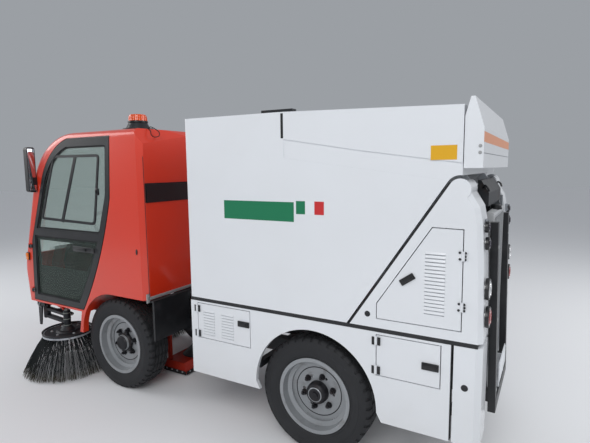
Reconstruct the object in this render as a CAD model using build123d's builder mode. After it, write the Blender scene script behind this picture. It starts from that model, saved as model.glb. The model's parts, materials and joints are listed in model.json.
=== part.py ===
"""Compact street sweeper truck: orange-red cab, white tipping hopper, two side brushes.

Millimetres. +Z is up, -Y is forward and +X is the vehicle's left. The origin is on the
ground, under the middle of the vehicle's length and width. A change of the overall length
goes into the body between the axles, so the front keeps its place and the tail moves.
"""

import os
from math import atan2, cos, degrees, hypot, radians, sin

from build123d import *

os.makedirs("parts", exist_ok=True)

# Overall layout
overall_length = 3960.0
front_end = -1980.0
rear_end = front_end + overall_length
front_overhang = 1210.0
rear_overhang = 995.0
front_axle_y = front_end + front_overhang
rear_axle_y = rear_end - rear_overhang
running_gap = 0.3
seat_gap = 0.5

# Wheels
tyre_radius = 366.0
tyre_width = 205.0
rim_radius = 235.0
rim_width = 185.0
wheel_centre_x = 497.5
kingpin_x = 417.0
disc_recess = 76.0
hub_radius = 66.0
spindle_radius = 20.0
stud_circle = 205.0
stud_count = 6
stud_hole_radius = 10.0
axle_z = tyre_radius

# White body
body_half = 640.0
panel_wall = 25.0
skirt_bottom = 349.0
belt_bottom = 864.0
belt_height = 24.0
belt_top = belt_bottom + belt_height
hopper_bottom = belt_top + seat_gap
hopper_front = 66.0
hopper_rear = rear_end - 158
hopper_top_front = 2084.0
hopper_top_rear = hopper_top_front - 39
hopper_wall = 22.0
notch_y = rear_end - 1158
pivot_y = rear_end - 168
pivot_z = 1645.0
shoulder_radius = 52.0
hopper_gap = 16.0
panel_split_y = rear_end - 180
panel_split_gap = 14.0
rear_face_y = rear_end - 40
arch_radius = 403.0
arch_y = rear_axle_y + 17
arch_z = 400.0
door_gap = 5.0

# Cab
cab_half = 635.0
cab_wall = 30.0
cab_rear = -380.0
cab_roof = 2057.0
cab_floor_z = 592.0
cab_rear_floor_z = 784.0
cab_nose_y = front_end + 24
front_arch_radius = 370.0
front_arch_z = 414.0
cab_door_gap = 6.0
cab_door_thickness = 35.0

# Side brushes
brush_x = 530.0
brush_y = -1525.0
brush_disc_z = 325.0
brush_disc_radius = 205.0
bristle_radius = 364.0
bristle_bottom = 8.0
arm_pivot_x = 500.0
arm_pivot_y = -1868.0

# Chassis
rail_x = 190.0
rail_width = 70.0
rail_bottom = 430.0
rail_height = 100.0
rail_top = rail_bottom + rail_height


def save(piece, name):
    """Labels a finished piece and writes its STEP file."""
    piece.label = name
    export_step(piece, f"parts/{name}.step")


def save_pair(piece, name):
    """Writes a left piece and its mirror image on the right."""
    save(piece, f"{name}_left")
    with BuildPart() as other:
        add(mirror(piece, about=Plane.YZ))
    save(other.part, f"{name}_right")


def both_sides(piece, name):
    """Writes a left solid and its mirror image as the two solids of one node."""
    with BuildPart() as pair:
        add(piece)
        add(mirror(piece, about=Plane.YZ))
    save(pair.part, name)


# Outside hinges of the doors: a barrel with a leaf on the door, pins with leaves on the body
hinge_barrel_radius = 8.0
hinge_pin_radius = 4.0
hinge_height = 30.0
hinge_foot = 8.0
leaf_length = 22.0
leaf_thickness = 5.0


def leaf_sketch(face_x, hinge_y, toward):
    """Flat leaf on a face at face_x, from the hinge line towards -1 (front) or +1 (back)."""
    with Locations((face_x + leaf_thickness / 2, hinge_y + toward * leaf_length / 2)):
        Rectangle(leaf_thickness, leaf_length)


def barrel_sketch(face_x, hinge_y, toward, bored):
    """Hinge barrel beside a face, with its leaf, bored for the pin where asked."""
    leaf_sketch(face_x, hinge_y, toward)
    with Locations((face_x + hinge_barrel_radius, hinge_y)):
        Circle(hinge_barrel_radius)
        if bored:
            Circle(hinge_pin_radius + running_gap, mode=Mode.SUBTRACT)


def pin_sketch(face_x, hinge_y):
    with Locations((face_x + hinge_barrel_radius, hinge_y)):
        Circle(hinge_pin_radius)


# Tyre and rim, turned about the X axis at the wheel's centre
def wheel_profile_plane(x, y):
    return Plane(origin=(x, y, axle_z), x_dir=(1, 0, 0), z_dir=(0, -1, 0))


def make_tyre(x, y):
    half = tyre_width / 2
    bead = rim_width / 2 - 6 - seat_gap
    seat = rim_radius - 12
    lip_top = rim_radius + 4 + seat_gap
    carcass = 20.0
    shoulder_low = tyre_radius - 14
    crown_edge = tyre_radius - 1
    with BuildPart() as tyre:
        with BuildSketch(wheel_profile_plane(x, y)):
            with BuildLine():
                Polyline((-bead + carcass, seat), (-bead, seat), (-bead, lip_top))
                ThreePointArc((-bead, lip_top), (-half, rim_radius + 62), (-half + 16, shoulder_low))
                ThreePointArc(
                    (-half + 16, shoulder_low), (-half + 23, tyre_radius - 4), (-half + 36, crown_edge)
                )
                ThreePointArc((-half + 36, crown_edge), (0, tyre_radius), (half - 36, crown_edge))
                ThreePointArc(
                    (half - 36, crown_edge), (half - 23, tyre_radius - 4), (half - 16, shoulder_low)
                )
                ThreePointArc((half - 16, shoulder_low), (half, rim_radius + 62), (bead, lip_top))
                Polyline((bead, lip_top), (bead, seat), (bead - carcass, seat))
                Line((bead - carcass, seat), (half - carcass, rim_radius + 55))
                Line((half - carcass, rim_radius + 55), (half - 2 * carcass, tyre_radius - carcass))
                Polyline(
                    (half - 2 * carcass, tyre_radius - carcass),
                    (-half + 2 * carcass, tyre_radius - carcass),
                    (-half + carcass, rim_radius + 55),
                    (-bead + carcass, seat),
                )
            make_face()
        revolve(axis=Axis((x, y, axle_z), (1, 0, 0)))
    return tyre.part


def make_rim(x, y):
    half = rim_width / 2
    lip = 6.0
    well = rim_radius - 12
    drop = 30.0
    wall = 7.0
    disc_x = half - disc_recess
    disc_thickness = 12.0
    with BuildPart() as rim:
        with BuildSketch(wheel_profile_plane(x, y)):
            with BuildLine():
                Polyline(
                    (half, rim_radius + 4),
                    (half - lip, rim_radius + 4),
                    (half - lip, well - seat_gap),
                    (40, well - seat_gap - 6),
                    (28, well - drop),
                    (-30, well - drop),
                    (-42, well - seat_gap - 6),
                    (-half + lip, well - seat_gap),
                    (-half + lip, rim_radius + 4),
                    (-half, rim_radius + 4),
                    (-half, well - wall),
                    (-46, well - wall - 6),
                    (-34, well - drop - wall),
                    (disc_x - disc_thickness, well - drop - wall),
                    (disc_x - disc_thickness, spindle_radius + running_gap),
                    (disc_x + 58, spindle_radius + running_gap),
                    (disc_x + 58, hub_radius - 22),
                    (disc_x + 46, hub_radius - 8),
                    (disc_x + 26, hub_radius),
                    (disc_x, hub_radius),
                    (disc_x, well - drop - wall),
                    (32, well - drop - wall),
                    (44, well - wall - 6),
                    (half, well - wall),
                    close=True,
                )
            make_face()
        revolve(axis=Axis((x, y, axle_z), (1, 0, 0)))
        with BuildSketch(Plane.YZ.offset(x + disc_x - disc_thickness - 1)):
            with Locations((y, axle_z)):
                with PolarLocations(stud_circle / 2, stud_count):
                    Circle(stud_hole_radius)
        extrude(amount=disc_thickness + 2, mode=Mode.SUBTRACT)
    return rim.part


axles = {"front": front_axle_y, "rear": rear_axle_y}
for place, axle_y in axles.items():
    save_pair(make_tyre(wheel_centre_x, axle_y), f"tyre_{place}")
    save_pair(make_rim(wheel_centre_x, axle_y), f"rim_{place}")


# Front axle beam with its kingpins, and the knuckles that turn on them
pin_radius = 18.0
fist_half = 34.0
eye_height = 28.0
beam_radius = 38.0
eye_radius = 33.0

with BuildPart() as front_axle:
    with BuildSketch(Plane.YZ.offset(-kingpin_x)) as beam_section:
        with Locations((front_axle_y, axle_z)):
            Circle(beam_radius * 0.8)
    extrude(amount=2 * kingpin_x)
    with BuildSketch(Plane.XY.offset(axle_z - fist_half)):
        with Locations((kingpin_x, front_axle_y), (-kingpin_x, front_axle_y)):
            Circle(eye_radius)
    extrude(amount=2 * fist_half)
    with BuildSketch(Plane.XY.offset(axle_z - fist_half - eye_height - 4)):
        with Locations((kingpin_x, front_axle_y), (-kingpin_x, front_axle_y)):
            Circle(pin_radius)
    extrude(amount=2 * (fist_half + eye_height + 4))
    with BuildSketch(Plane.XY.offset(axle_z)):
        with Locations((rail_x, front_axle_y), (-rail_x, front_axle_y)):
            Rectangle(rail_width, 110)
    extrude(amount=rail_bottom - axle_z)
save(front_axle.part, "front_axle")

web_x = kingpin_x + eye_radius + 4
web_thickness = 12.0
spindle_end = wheel_centre_x + rim_width / 2 - disc_recess + 40
with BuildPart() as knuckle:
    eye_z = [axle_z - fist_half - eye_height - 0.3, axle_z + fist_half + 0.3]
    for z in eye_z:
        with BuildSketch(Plane.XY.offset(z)):
            with Locations((kingpin_x, front_axle_y)):
                Circle(eye_radius)
            with Locations(((kingpin_x + web_x + web_thickness) / 2, front_axle_y)):
                Rectangle(web_x + web_thickness - kingpin_x, 2 * eye_radius)
            with Locations((kingpin_x, front_axle_y)):
                Circle(pin_radius + running_gap, mode=Mode.SUBTRACT)
        extrude(amount=eye_height)
    with BuildSketch(Plane.YZ.offset(web_x)):
        with Locations((front_axle_y, axle_z)):
            Rectangle(2 * eye_radius, 2 * (fist_half + eye_height))
    extrude(amount=web_thickness)
    with BuildSketch(Plane.YZ.offset(web_x)):
        with Locations((front_axle_y, axle_z)):
            Circle(spindle_radius)
    extrude(amount=spindle_end - web_x)
save_pair(knuckle.part, "knuckle")

spindle_reach = wheel_centre_x + rim_width / 2 - disc_recess + 40
with BuildPart() as rear_axle:
    with BuildSketch(Plane.YZ.offset(-440)):
        with Locations((rear_axle_y, axle_z)):
            Circle(46)
    extrude(amount=880)
    with BuildSketch(Plane.YZ.offset(-spindle_reach)):
        with Locations((rear_axle_y, axle_z)):
            Circle(spindle_radius)
    extrude(amount=2 * spindle_reach)
    with Locations((0, rear_axle_y, axle_z)):
        Sphere(105)
    with BuildSketch(Plane.XY.offset(axle_z)):
        with Locations((rail_x, rear_axle_y), (-rail_x, rear_axle_y)):
            Rectangle(rail_width, 120)
    extrude(amount=rail_bottom - axle_z)
save(rear_axle.part, "rear_axle")


# Chassis: two rails, cross members, outriggers to the side panels, cab posts
rail_front = front_end + 190
rail_rear = rear_end - 100
arch_front_y = arch_y - arch_radius
outrigger_z = 480.0
outrigger_size = 40.0
outrigger_ys = [hopper_front + 194, arch_front_y + 1, rear_end - 530, rear_end - 170]
tip_pin_x = 300.0
tip_pin_y = rear_axle_y + 195
cross_ys = [
    rail_front + 50,
    front_axle_y - 230,
    hopper_front + 54,
    arch_front_y - 39,
    tip_pin_y,
    rail_rear - 30,
]
guard_x = 293.0
guard_width = 52.0
beam_back = rail_rear + 5
tip_pin_z = 580.0
tip_pin_radius = 14.0
post_x = 405.0
post_size = 44.0
pivot_pin_radius = 15.0
ear_x = 350.0
post_ys = [rail_front + 90, front_axle_y - 460]
with BuildPart() as chassis:
    with BuildSketch(Plane.XZ.offset(-rail_front)):
        for side in (1, -1):
            with Locations((side * rail_x, rail_bottom + rail_height / 2)):
                Rectangle(rail_width, rail_height)
    extrude(amount=-(rail_rear - rail_front))
    for y in cross_ys:
        with BuildSketch(Plane.XY.offset(rail_bottom + 15)):
            with Locations((0, y)):
                Rectangle(2 * rail_x, 60)
        extrude(amount=rail_height - 30)
    for y in outrigger_ys:
        with BuildSketch(Plane.XY.offset(outrigger_z)):
            with Locations((0, y)):
                Rectangle(2 * (body_half - panel_wall), outrigger_size)
        extrude(amount=outrigger_size)
    for y in post_ys:
        with BuildSketch(Plane.XY.offset(rail_top)):
            with Locations((rail_x, y), (-rail_x, y)):
                Rectangle(60, 80)
        extrude(amount=cab_floor_z - rail_top)
    with BuildSketch(Plane.XY.offset(rail_top)):
        with Locations((rail_x, cab_rear - 100), (-rail_x, cab_rear - 100)):
            Rectangle(60, 80)
    extrude(amount=cab_rear_floor_z - rail_top)
    # Rear beam that carries the guard and the cooler
    with BuildSketch(Plane.XZ.offset(-beam_back)):
        with Locations((0, rail_bottom + rail_height / 2)):
            Rectangle(2 * guard_x + guard_width, 70)
    extrude(amount=beam_back - rail_rear)
    # Cross shaft that carries the two tip cylinders
    with BuildSketch(Plane.XY.offset(rail_top)):
        with Locations((rail_x, tip_pin_y), (-rail_x, tip_pin_y)):
            Rectangle(rail_width, 60)
    extrude(amount=tip_pin_z + 30 - rail_top)
    with BuildSketch(Plane.YZ.offset(-tip_pin_x - 30)):
        with Locations((tip_pin_y, tip_pin_z)):
            Circle(tip_pin_radius)
    extrude(amount=2 * tip_pin_x + 60)
    # Posts and pins that the hopper tips on
    with BuildSketch(Plane.XY.offset(outrigger_z)):
        with Locations((post_x, pivot_y), (-post_x, pivot_y)):
            Rectangle(post_size, post_size)
    extrude(amount=pivot_z + 26 - outrigger_z)
    with BuildSketch(Plane.YZ.offset(ear_x - 16)):
        with Locations((pivot_y, pivot_z)):
            Circle(pivot_pin_radius)
    extrude(amount=post_x - ear_x + 16)
    with BuildSketch(Plane.YZ.offset(-post_x)):
        with Locations((pivot_y, pivot_z)):
            Circle(pivot_pin_radius)
    extrude(amount=post_x - ear_x + 16)
save(chassis.part, "chassis_frame")


# Front carrier under the cab's nose, with the vertical pins of the brush arms
pin_top = 520.0
pin_bottom = 395.0
arm_pin_radius = 14.0
carrier_depth = 60.0
carrier_height = 45.0
tool_hole_spacing = 300.0
tool_hole_radius = 8.5
with BuildPart() as carrier:
    with BuildSketch(Plane.XY.offset(pin_top)):
        with Locations((0, rail_front - carrier_depth / 2)):
            Rectangle(2 * (arm_pivot_x + 40), carrier_depth)
        for side in (1, -1):
            with Locations((side * arm_pivot_x, arm_pivot_y)):
                Rectangle(110, 110)
    extrude(amount=carrier_height)
    with BuildSketch(Plane.XY.offset(pin_bottom)):
        with Locations((arm_pivot_x, arm_pivot_y), (-arm_pivot_x, arm_pivot_y)):
            Circle(arm_pin_radius)
    extrude(amount=pin_top - pin_bottom)
    with BuildSketch(Plane.XY.offset(rail_bottom)):
        with Locations((rail_x, rail_front - 15), (-rail_x, rail_front - 15)):
            Rectangle(rail_width, 30)
    extrude(amount=rail_height)
    with BuildSketch(Plane.YZ.offset(arm_pivot_x + 35)):
        with BuildLine():
            Polyline(
                (arm_pivot_y - 55, pin_top + carrier_height),
                (arm_pivot_y + 10, pin_top + carrier_height),
                (arm_pivot_y - 30, 330),
                (arm_pivot_y - 55, 330),
                close=True,
            )
        make_face()
    extrude(amount=12)
    mirror(about=Plane.YZ)
    # Bolt holes for a tool across the front
    with BuildSketch(Plane.XZ.offset(-rail_front - 1)):
        with Locations((0, pin_top + carrier_height / 2)):
            with GridLocations(tool_hole_spacing, 1, 2, 1):
                Circle(tool_hole_radius)
    extrude(amount=carrier_depth + 2, mode=Mode.SUBTRACT)
save(carrier.part, "front_carrier")


# Brush arm: eye on the pin, two link bars and the motor that drives the disc
eye_outer = 30.0
motor_radius = 30.0
motor_foot_radius = 63.0
strut_thickness = 16.0
motor_top = 520.0
motor_bottom = brush_disc_z + 22 + seat_gap
bar_zs = [400.0, 470.0]
bar_height = 24.0
with BuildPart() as arm:
    with BuildSketch(Plane.XY.offset(pin_bottom)):
        with Locations((arm_pivot_x, arm_pivot_y)):
            Circle(eye_outer)
    extrude(amount=pin_top - pin_bottom - running_gap)
    reach = hypot(brush_x - arm_pivot_x, brush_y - arm_pivot_y)
    heading = degrees(atan2(brush_y - arm_pivot_y, brush_x - arm_pivot_x))
    for z in bar_zs:
        with BuildSketch(Plane.XY.offset(z)):
            with Locations(Location(((arm_pivot_x + brush_x) / 2, (arm_pivot_y + brush_y) / 2), heading)):
                Rectangle(reach, 44)
        extrude(amount=bar_height)
    with BuildSketch(Plane.XY.offset(motor_bottom + 40)):
        with Locations((brush_x, brush_y)):
            Circle(motor_radius)
    extrude(amount=motor_top - motor_bottom - 40)
    with BuildSketch(Plane.XY.offset(motor_bottom)):
        with Locations((brush_x, brush_y)):
            Circle(motor_foot_radius)
    with BuildSketch(Plane.XY.offset(motor_bottom + 40)):
        with Locations((brush_x, brush_y)):
            Circle(motor_radius)
    loft()
    with BuildSketch(Plane.XY.offset(pin_bottom)):
        with Locations((arm_pivot_x, arm_pivot_y)):
            Circle(arm_pin_radius + running_gap)
    extrude(amount=pin_top - pin_bottom, mode=Mode.SUBTRACT)
    # Flat strut from the link bars down to the motor's foot
    with BuildSketch(Plane.YZ.offset(arm_pivot_x - strut_thickness / 2)):
        with BuildLine():
            Polyline(
                (brush_y - 140, 537),
                (brush_y - 80, 546),
                (brush_y - 16, motor_bottom + 36),
                (brush_y - 53, motor_bottom + 36),
                close=True,
            )
        make_face()
    extrude(amount=strut_thickness)
save_pair(arm.part, "brush_arm")

with BuildPart() as brush_disc:
    with BuildSketch(Plane(origin=(brush_x, brush_y, brush_disc_z), x_dir=(1, 0, 0), z_dir=(0, -1, 0))):
        with BuildLine():
            Polyline(
                (0, 6),
                (0, 22),
                (84, 22),
                (100, 10),
                (brush_disc_radius - 14, 10),
                (brush_disc_radius, 24),
                (brush_disc_radius + 4, 20),
                (brush_disc_radius, 0),
                (110, 0),
                (90, 6),
                close=True,
            )
        make_face()
    revolve(axis=Axis((brush_x, brush_y, brush_disc_z), (0, 0, 1)))
save_pair(brush_disc.part, "brush_disc")

tuft_count = 20
with BuildPart() as bristles:
    ring_height = 12.0
    with BuildSketch(Plane.XY.offset(brush_disc_z - ring_height)):
        with Locations((brush_x, brush_y)):
            Circle(brush_disc_radius - 8)
            Circle(brush_disc_radius - 60, mode=Mode.SUBTRACT)
    extrude(amount=ring_height)
    for index in range(tuft_count):
        angle = radians(360 / tuft_count * index)
        top_x = brush_x + (brush_disc_radius - 34) * cos(angle)
        top_y = brush_y + (brush_disc_radius - 34) * sin(angle)
        low_x = brush_x + (bristle_radius - 36) * cos(angle)
        low_y = brush_y + (bristle_radius - 36) * sin(angle)
        with BuildSketch(Plane.XY.offset(brush_disc_z - ring_height)):
            with Locations(Location((top_x, top_y), degrees(angle))):
                Rectangle(40, 40)
        with BuildSketch(Plane.XY.offset(bristle_bottom)):
            with Locations(Location((low_x, low_y), degrees(angle))):
                Rectangle(62, 84)
        loft()
save_pair(bristles.part, "bristles")


# Cab shell: the side profile drawn out to the full width, rounded, then hollowed
door_face_x = cab_half + 2
cab_hinge_y = -1819.0
cab_hinge_zs = [682.0, 1080.0]
nose_foot = (cab_nose_y + 36, cab_floor_z)
nose_point = (cab_nose_y, 907.0)
roof_point = (cab_nose_y + 341, cab_roof)
nose_radius = 400.0
screen_radius = 590.0
corner_radius = 60.0
rear_chamfer = 38.0
bevel_drop_middle = 15.0
bevel_drop_side = 119.0
bevel_reach = 65.0
front_arch_y = front_axle_y - 10
arch_foot_y = front_arch_y - (front_arch_radius**2 - (cab_floor_z - front_arch_z) ** 2) ** 0.5
leg_bottom = 412.0
leg_depth = 42.0
leg_overlap = 8.0
leg_inner_x = cab_half - 50
screen_half = 545.0
screen_low_z = 1010.0
screen_clearance = 1.0
rear_window_z = cab_roof - 471
rear_window_half = 560.0
rear_window_height = 118.0


head_lamp_x = 430.0
head_lamp_z = 800.0
head_lamp_width = 170.0
head_lamp_height = 110.0
lamp_back = cab_nose_y + 31


def arch_point(radius, angle):
    return (
        front_arch_y + radius * cos(radians(angle)),
        front_arch_z + radius * sin(radians(angle)),
    )


def cab_outline():
    """Closed side outline of the cab, as lines and arcs in the current BuildLine."""
    roof_end = (cab_rear, cab_roof)
    arch_top = (front_arch_y, cab_rear_floor_z)
    arch_foot = (arch_foot_y, cab_floor_z)
    FilletPolyline(nose_foot, nose_point, roof_point, roof_end, radius=[nose_radius, screen_radius])
    Polyline(roof_end, (cab_rear, cab_rear_floor_z), arch_top)
    ThreePointArc(arch_top, arch_point(front_arch_radius, 120), arch_foot)
    Line(arch_foot, nose_foot)


def door_outline():
    """Closed outline of the cab door."""
    door_top = cab_roof - 50
    pillar_foot = (-729, cab_roof - 513)
    door_heel = (-1127, cab_floor_z + 22)
    sill_front = (-1811, cab_floor_z + 22)
    screen_foot = (-1785, 1140)
    screen_top = (-1591, cab_roof - 413)
    roof_front = (-1201, door_top)
    Line((-693, door_top), pillar_foot)
    ThreePointArc(pillar_foot, (-876, 1095), door_heel)
    Polyline(door_heel, sill_front, screen_foot, screen_top)
    ThreePointArc(screen_top, (-1445, cab_roof - 185), roof_front)
    Line(roof_front, (-693, door_top))


def bevel_plane(side, depth):
    """Plane of the roof's rear bevel on one side: lowest at the side, moved in by a depth."""
    low_middle = Vector(0, cab_rear, cab_roof - bevel_drop_middle)
    low_side = Vector(side * cab_half, cab_rear, cab_roof - bevel_drop_side)
    top_side = Vector(side * cab_half, cab_rear - bevel_reach, cab_roof)
    along = low_side - low_middle
    normal = (top_side - low_side).cross(along) * side
    return Plane(origin=low_side, x_dir=along, z_dir=normal).offset(-depth)


def screen_sketch(clearance):
    """Side outline of the windscreen's opening, moved in by a clearance."""
    Polyline(
        (front_end - 120, screen_low_z + clearance),
        (-1880 - clearance, screen_low_z + clearance),
        (-1640 - clearance, cab_roof - 367),
        (-1400 - clearance, cab_roof - 92),
        (-1480, cab_roof + 63),
        (front_end - 120, cab_roof + 63),
        close=True,
    )


with BuildPart() as cab_space:
    with BuildSketch(Plane.YZ.offset(-cab_half + cab_wall)):
        with BuildLine():
            cab_outline()
        make_face()
        offset(amount=-cab_wall, kind=Kind.INTERSECTION, mode=Mode.REPLACE)
    extrude(amount=2 * (cab_half - cab_wall))
    for side in (1, -1):
        split(bisect_by=bevel_plane(side, cab_wall), keep=Keep.BOTTOM)

with BuildPart() as cab:
    with BuildSketch(Plane.YZ.offset(-cab_half)):
        with BuildLine():
            cab_outline()
        make_face()
    extrude(amount=2 * cab_half)
    side_edges = cab.edges().filter_by(lambda e: abs(abs(e.center().X) - cab_half) < 1)
    front_edges = side_edges.filter_by(lambda e: e.center().Z > cab_floor_z + 50 and e.center().Y < -1300)
    roof_edges = side_edges.filter_by(lambda e: e.center().Z > cab_roof - 1)
    fillet(front_edges + roof_edges, corner_radius)
    chamfer(cab.edges().filter_by(Axis.Z).filter_by(lambda e: e.center().Y > cab_rear - 1), rear_chamfer)
    for side in (1, -1):
        split(bisect_by=bevel_plane(side, 0), keep=Keep.BOTTOM)
    add(cab_space.part, mode=Mode.SUBTRACT)
    # Door openings through both side walls
    with BuildSketch(Plane.YZ.offset(-cab_half - 5)):
        with BuildLine():
            door_outline()
        make_face()
        offset(amount=cab_door_gap, kind=Kind.INTERSECTION, mode=Mode.REPLACE)
    extrude(amount=2 * cab_half + 10, mode=Mode.SUBTRACT)
    # Lamp pockets in the nose
    with BuildSketch(Plane.XZ.offset(-lamp_back)):
        with Locations((head_lamp_x, head_lamp_z), (-head_lamp_x, head_lamp_z)):
            RectangleRounded(head_lamp_width + 2 * seat_gap, head_lamp_height + 2 * seat_gap, 20)
    extrude(amount=60, mode=Mode.SUBTRACT)
    # Windscreen and rear window openings
    with BuildSketch(Plane.YZ.offset(-screen_half)):
        with BuildLine():
            screen_sketch(0)
        make_face()
    extrude(amount=2 * screen_half, mode=Mode.SUBTRACT)
    with BuildSketch(Plane.XZ.offset(-cab_rear - 10)):
        with Locations((0, rear_window_z)):
            Rectangle(2 * rear_window_half, rear_window_height)
    extrude(amount=cab_wall + 20, mode=Mode.SUBTRACT)
    # Fixed halves of the door hinges, on both sides
    for z in cab_hinge_zs:
        for low in (z - hinge_foot - running_gap, z + hinge_height + running_gap):
            with BuildSketch(Plane.XY.offset(low)):
                barrel_sketch(door_face_x, cab_hinge_y, -1, False)
                with Locations((door_face_x - 2, cab_hinge_y - leaf_length / 2)):
                    Rectangle(6, leaf_length)
                mirror(about=Plane.YZ)
            extrude(amount=hinge_foot)
        with BuildSketch(Plane.XY.offset(z - hinge_foot)):
            pin_sketch(door_face_x, cab_hinge_y)
            mirror(about=Plane.YZ)
        extrude(amount=hinge_height + 2 * hinge_foot)
    # Legs that carry the wheel arch lip down in front of the front wheels
    for x in (leg_inner_x, -cab_half):
        with BuildSketch(Plane.YZ.offset(x)):
            with BuildLine():
                foot_in = (arch_point(front_arch_radius, 180)[0], leg_bottom)
                foot_out = (foot_in[0] - leg_depth, leg_bottom)
                ThreePointArc((arch_foot_y, cab_floor_z), arch_point(front_arch_radius, 163), foot_in)
                Line(foot_in, foot_out)
                Polyline(
                    foot_out,
                    (arch_foot_y - leg_depth - 6, cab_floor_z + leg_overlap),
                    (arch_foot_y - 4, cab_floor_z + leg_overlap),
                    (arch_foot_y, cab_floor_z),
                )
            make_face()
        extrude(amount=cab_half - leg_inner_x)
save(cab.part, "cab_shell")

# Cab glass: windscreen following the nose, pane in the back wall
glass_inset = 9.0
glass_thickness = 6.0
with BuildPart() as windscreen:
    with BuildSketch(Plane.YZ.offset(-screen_half + seat_gap)):
        with BuildLine():
            cab_outline()
        make_face()
        offset(amount=-glass_inset, kind=Kind.INTERSECTION, mode=Mode.REPLACE)
        with BuildLine():
            cab_outline()
        inner_face = make_face(mode=Mode.PRIVATE)
        offset(inner_face, amount=-glass_inset - glass_thickness, kind=Kind.INTERSECTION, mode=Mode.SUBTRACT)
    extrude(amount=2 * (screen_half - seat_gap))
    with BuildSketch(Plane.YZ.offset(-screen_half)):
        with BuildLine():
            screen_sketch(screen_clearance)
        make_face()
    extrude(amount=2 * screen_half, mode=Mode.INTERSECT)
save(windscreen.part, "windscreen")

with BuildPart() as rear_window:
    with BuildSketch(Plane.XZ.offset(-cab_rear)):
        with Locations((0, rear_window_z)):
            Rectangle(2 * rear_window_half + 64, rear_window_height + 18)
    extrude(amount=-9)
save(rear_window.part, "rear_window")

# Cab doors: frame with two window openings, and their two panes
waist_z = 1230.0
waist_bar = 64.0


def upper_opening(inset):
    top = cab_roof - 112 - inset
    low = waist_z + waist_bar / 2 + inset
    rear_top = (-738 - inset, top)
    front_low = (-1700 + inset, low)
    front_knee = (-1548 + inset, cab_roof - 407)
    front_top = (-1215, top)
    Polyline(rear_top, (-770 - inset, cab_roof - 497), (-868 - inset, low), front_low, front_knee)
    ThreePointArc(front_knee, (-1412 + inset, cab_roof - 219 - inset), front_top)
    Line(front_top, rear_top)


def lower_opening(inset):
    top = waist_z - waist_bar / 2 - inset
    low = cab_floor_z + 72 + inset
    Polyline(
        (-893 - inset, top),
        (-1000 - inset, 950),
        (-1172 - inset, low),
        (-1758 + inset, low),
        (-1735 + inset, top),
        close=True,
    )


with BuildPart() as door:
    with BuildSketch(Plane.YZ.offset(door_face_x - cab_door_thickness)):
        with BuildLine():
            door_outline()
        make_face()
        with BuildLine():
            upper_opening(0)
        make_face(mode=Mode.SUBTRACT)
        with BuildLine():
            lower_opening(0)
        make_face(mode=Mode.SUBTRACT)
    extrude(amount=cab_door_thickness)
    for z in cab_hinge_zs:
        with BuildSketch(Plane.XY.offset(z)):
            barrel_sketch(door_face_x, cab_hinge_y, 1, True)
            with Locations((door_face_x + leaf_thickness / 2, cab_hinge_y + leaf_length)):
                Rectangle(leaf_thickness, leaf_length)
        extrude(amount=hinge_height)
save_pair(door.part, "cab_door")

with BuildPart() as door_glass:
    with BuildSketch(Plane.YZ.offset(door_face_x - 16)):
        with BuildLine():
            upper_opening(seat_gap)
        make_face()
        with BuildLine():
            lower_opening(seat_gap)
        make_face()
    extrude(amount=6)
save_pair(door_glass.part, "door_glass")

# Inside the cab: seat box, seat, dashboard with the steering column, steering wheel
floor_top = cab_floor_z + cab_wall
deck_top = cab_rear_floor_z + cab_wall
seat_y = -700.0
seat_z = 1090.0
with BuildPart() as seat_box:
    with BuildSketch(Plane.XY.offset(deck_top)):
        with Locations((0, seat_y)):
            Rectangle(620, 460)
    extrude(amount=seat_z - 60 - deck_top)
save(seat_box.part, "seat_box")

with BuildPart() as seat:
    with BuildSketch(Plane.YZ.offset(-235)):
        with BuildLine():
            Polyline(
                (-950, seat_z - 60 + seat_gap),
                (-600, seat_z - 60 + seat_gap),
                (-490, seat_z - 40),
                (-455, 1640),
                (-540, 1640),
                (-610, seat_z + 60),
                (-940, seat_z + 80),
                (-970, seat_z + 30),
                close=True,
            )
        make_face()
    extrude(amount=470)
    fillet(seat.edges().filter_by(lambda e: abs(abs(e.center().X) - 235) < 1), 28)
save(seat.part, "seat")

column_low = (-1640.0, 1010.0)
column_high = (-1390.0, 1210.0)
column_angle = degrees(atan2(column_high[1] - column_low[1], column_high[0] - column_low[0]))
column_length = hypot(column_high[0] - column_low[0], column_high[1] - column_low[1])
column_plane = Plane(
    origin=(0, column_low[0], column_low[1]),
    x_dir=(1, 0, 0),
    z_dir=(0, cos(radians(column_angle)), sin(radians(column_angle))),
)
with BuildPart() as dashboard:
    with BuildSketch(Plane.YZ.offset(-420)):
        with BuildLine():
            Polyline(
                (-1840, floor_top),
                (-1740, floor_top),
                (-1690, 900),
                (-1610, 1010),
                (-1690, 1080),
                (-1800, 1060),
                (-1870, 900),
                close=True,
            )
        make_face()
    extrude(amount=840)
    with BuildSketch(column_plane):
        Circle(28)
    extrude(amount=column_length)
save(dashboard.part, "dashboard")

wheel_plane = column_plane.offset(column_length + running_gap)
with BuildPart() as steering_wheel:
    with BuildSketch(wheel_plane):
        Circle(45)
    extrude(amount=30)
    with BuildSketch(wheel_plane.offset(8)):
        Rectangle(360, 30)
        Rectangle(30, 360)
    extrude(amount=8)
    with BuildSketch(Plane(origin=wheel_plane.origin, x_dir=(1, 0, 0), z_dir=wheel_plane.y_dir)):
        with Locations((185, -14)):
            Circle(14)
    revolve(axis=Axis(wheel_plane.origin, wheel_plane.z_dir))
save(steering_wheel.part, "steering_wheel")

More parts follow.
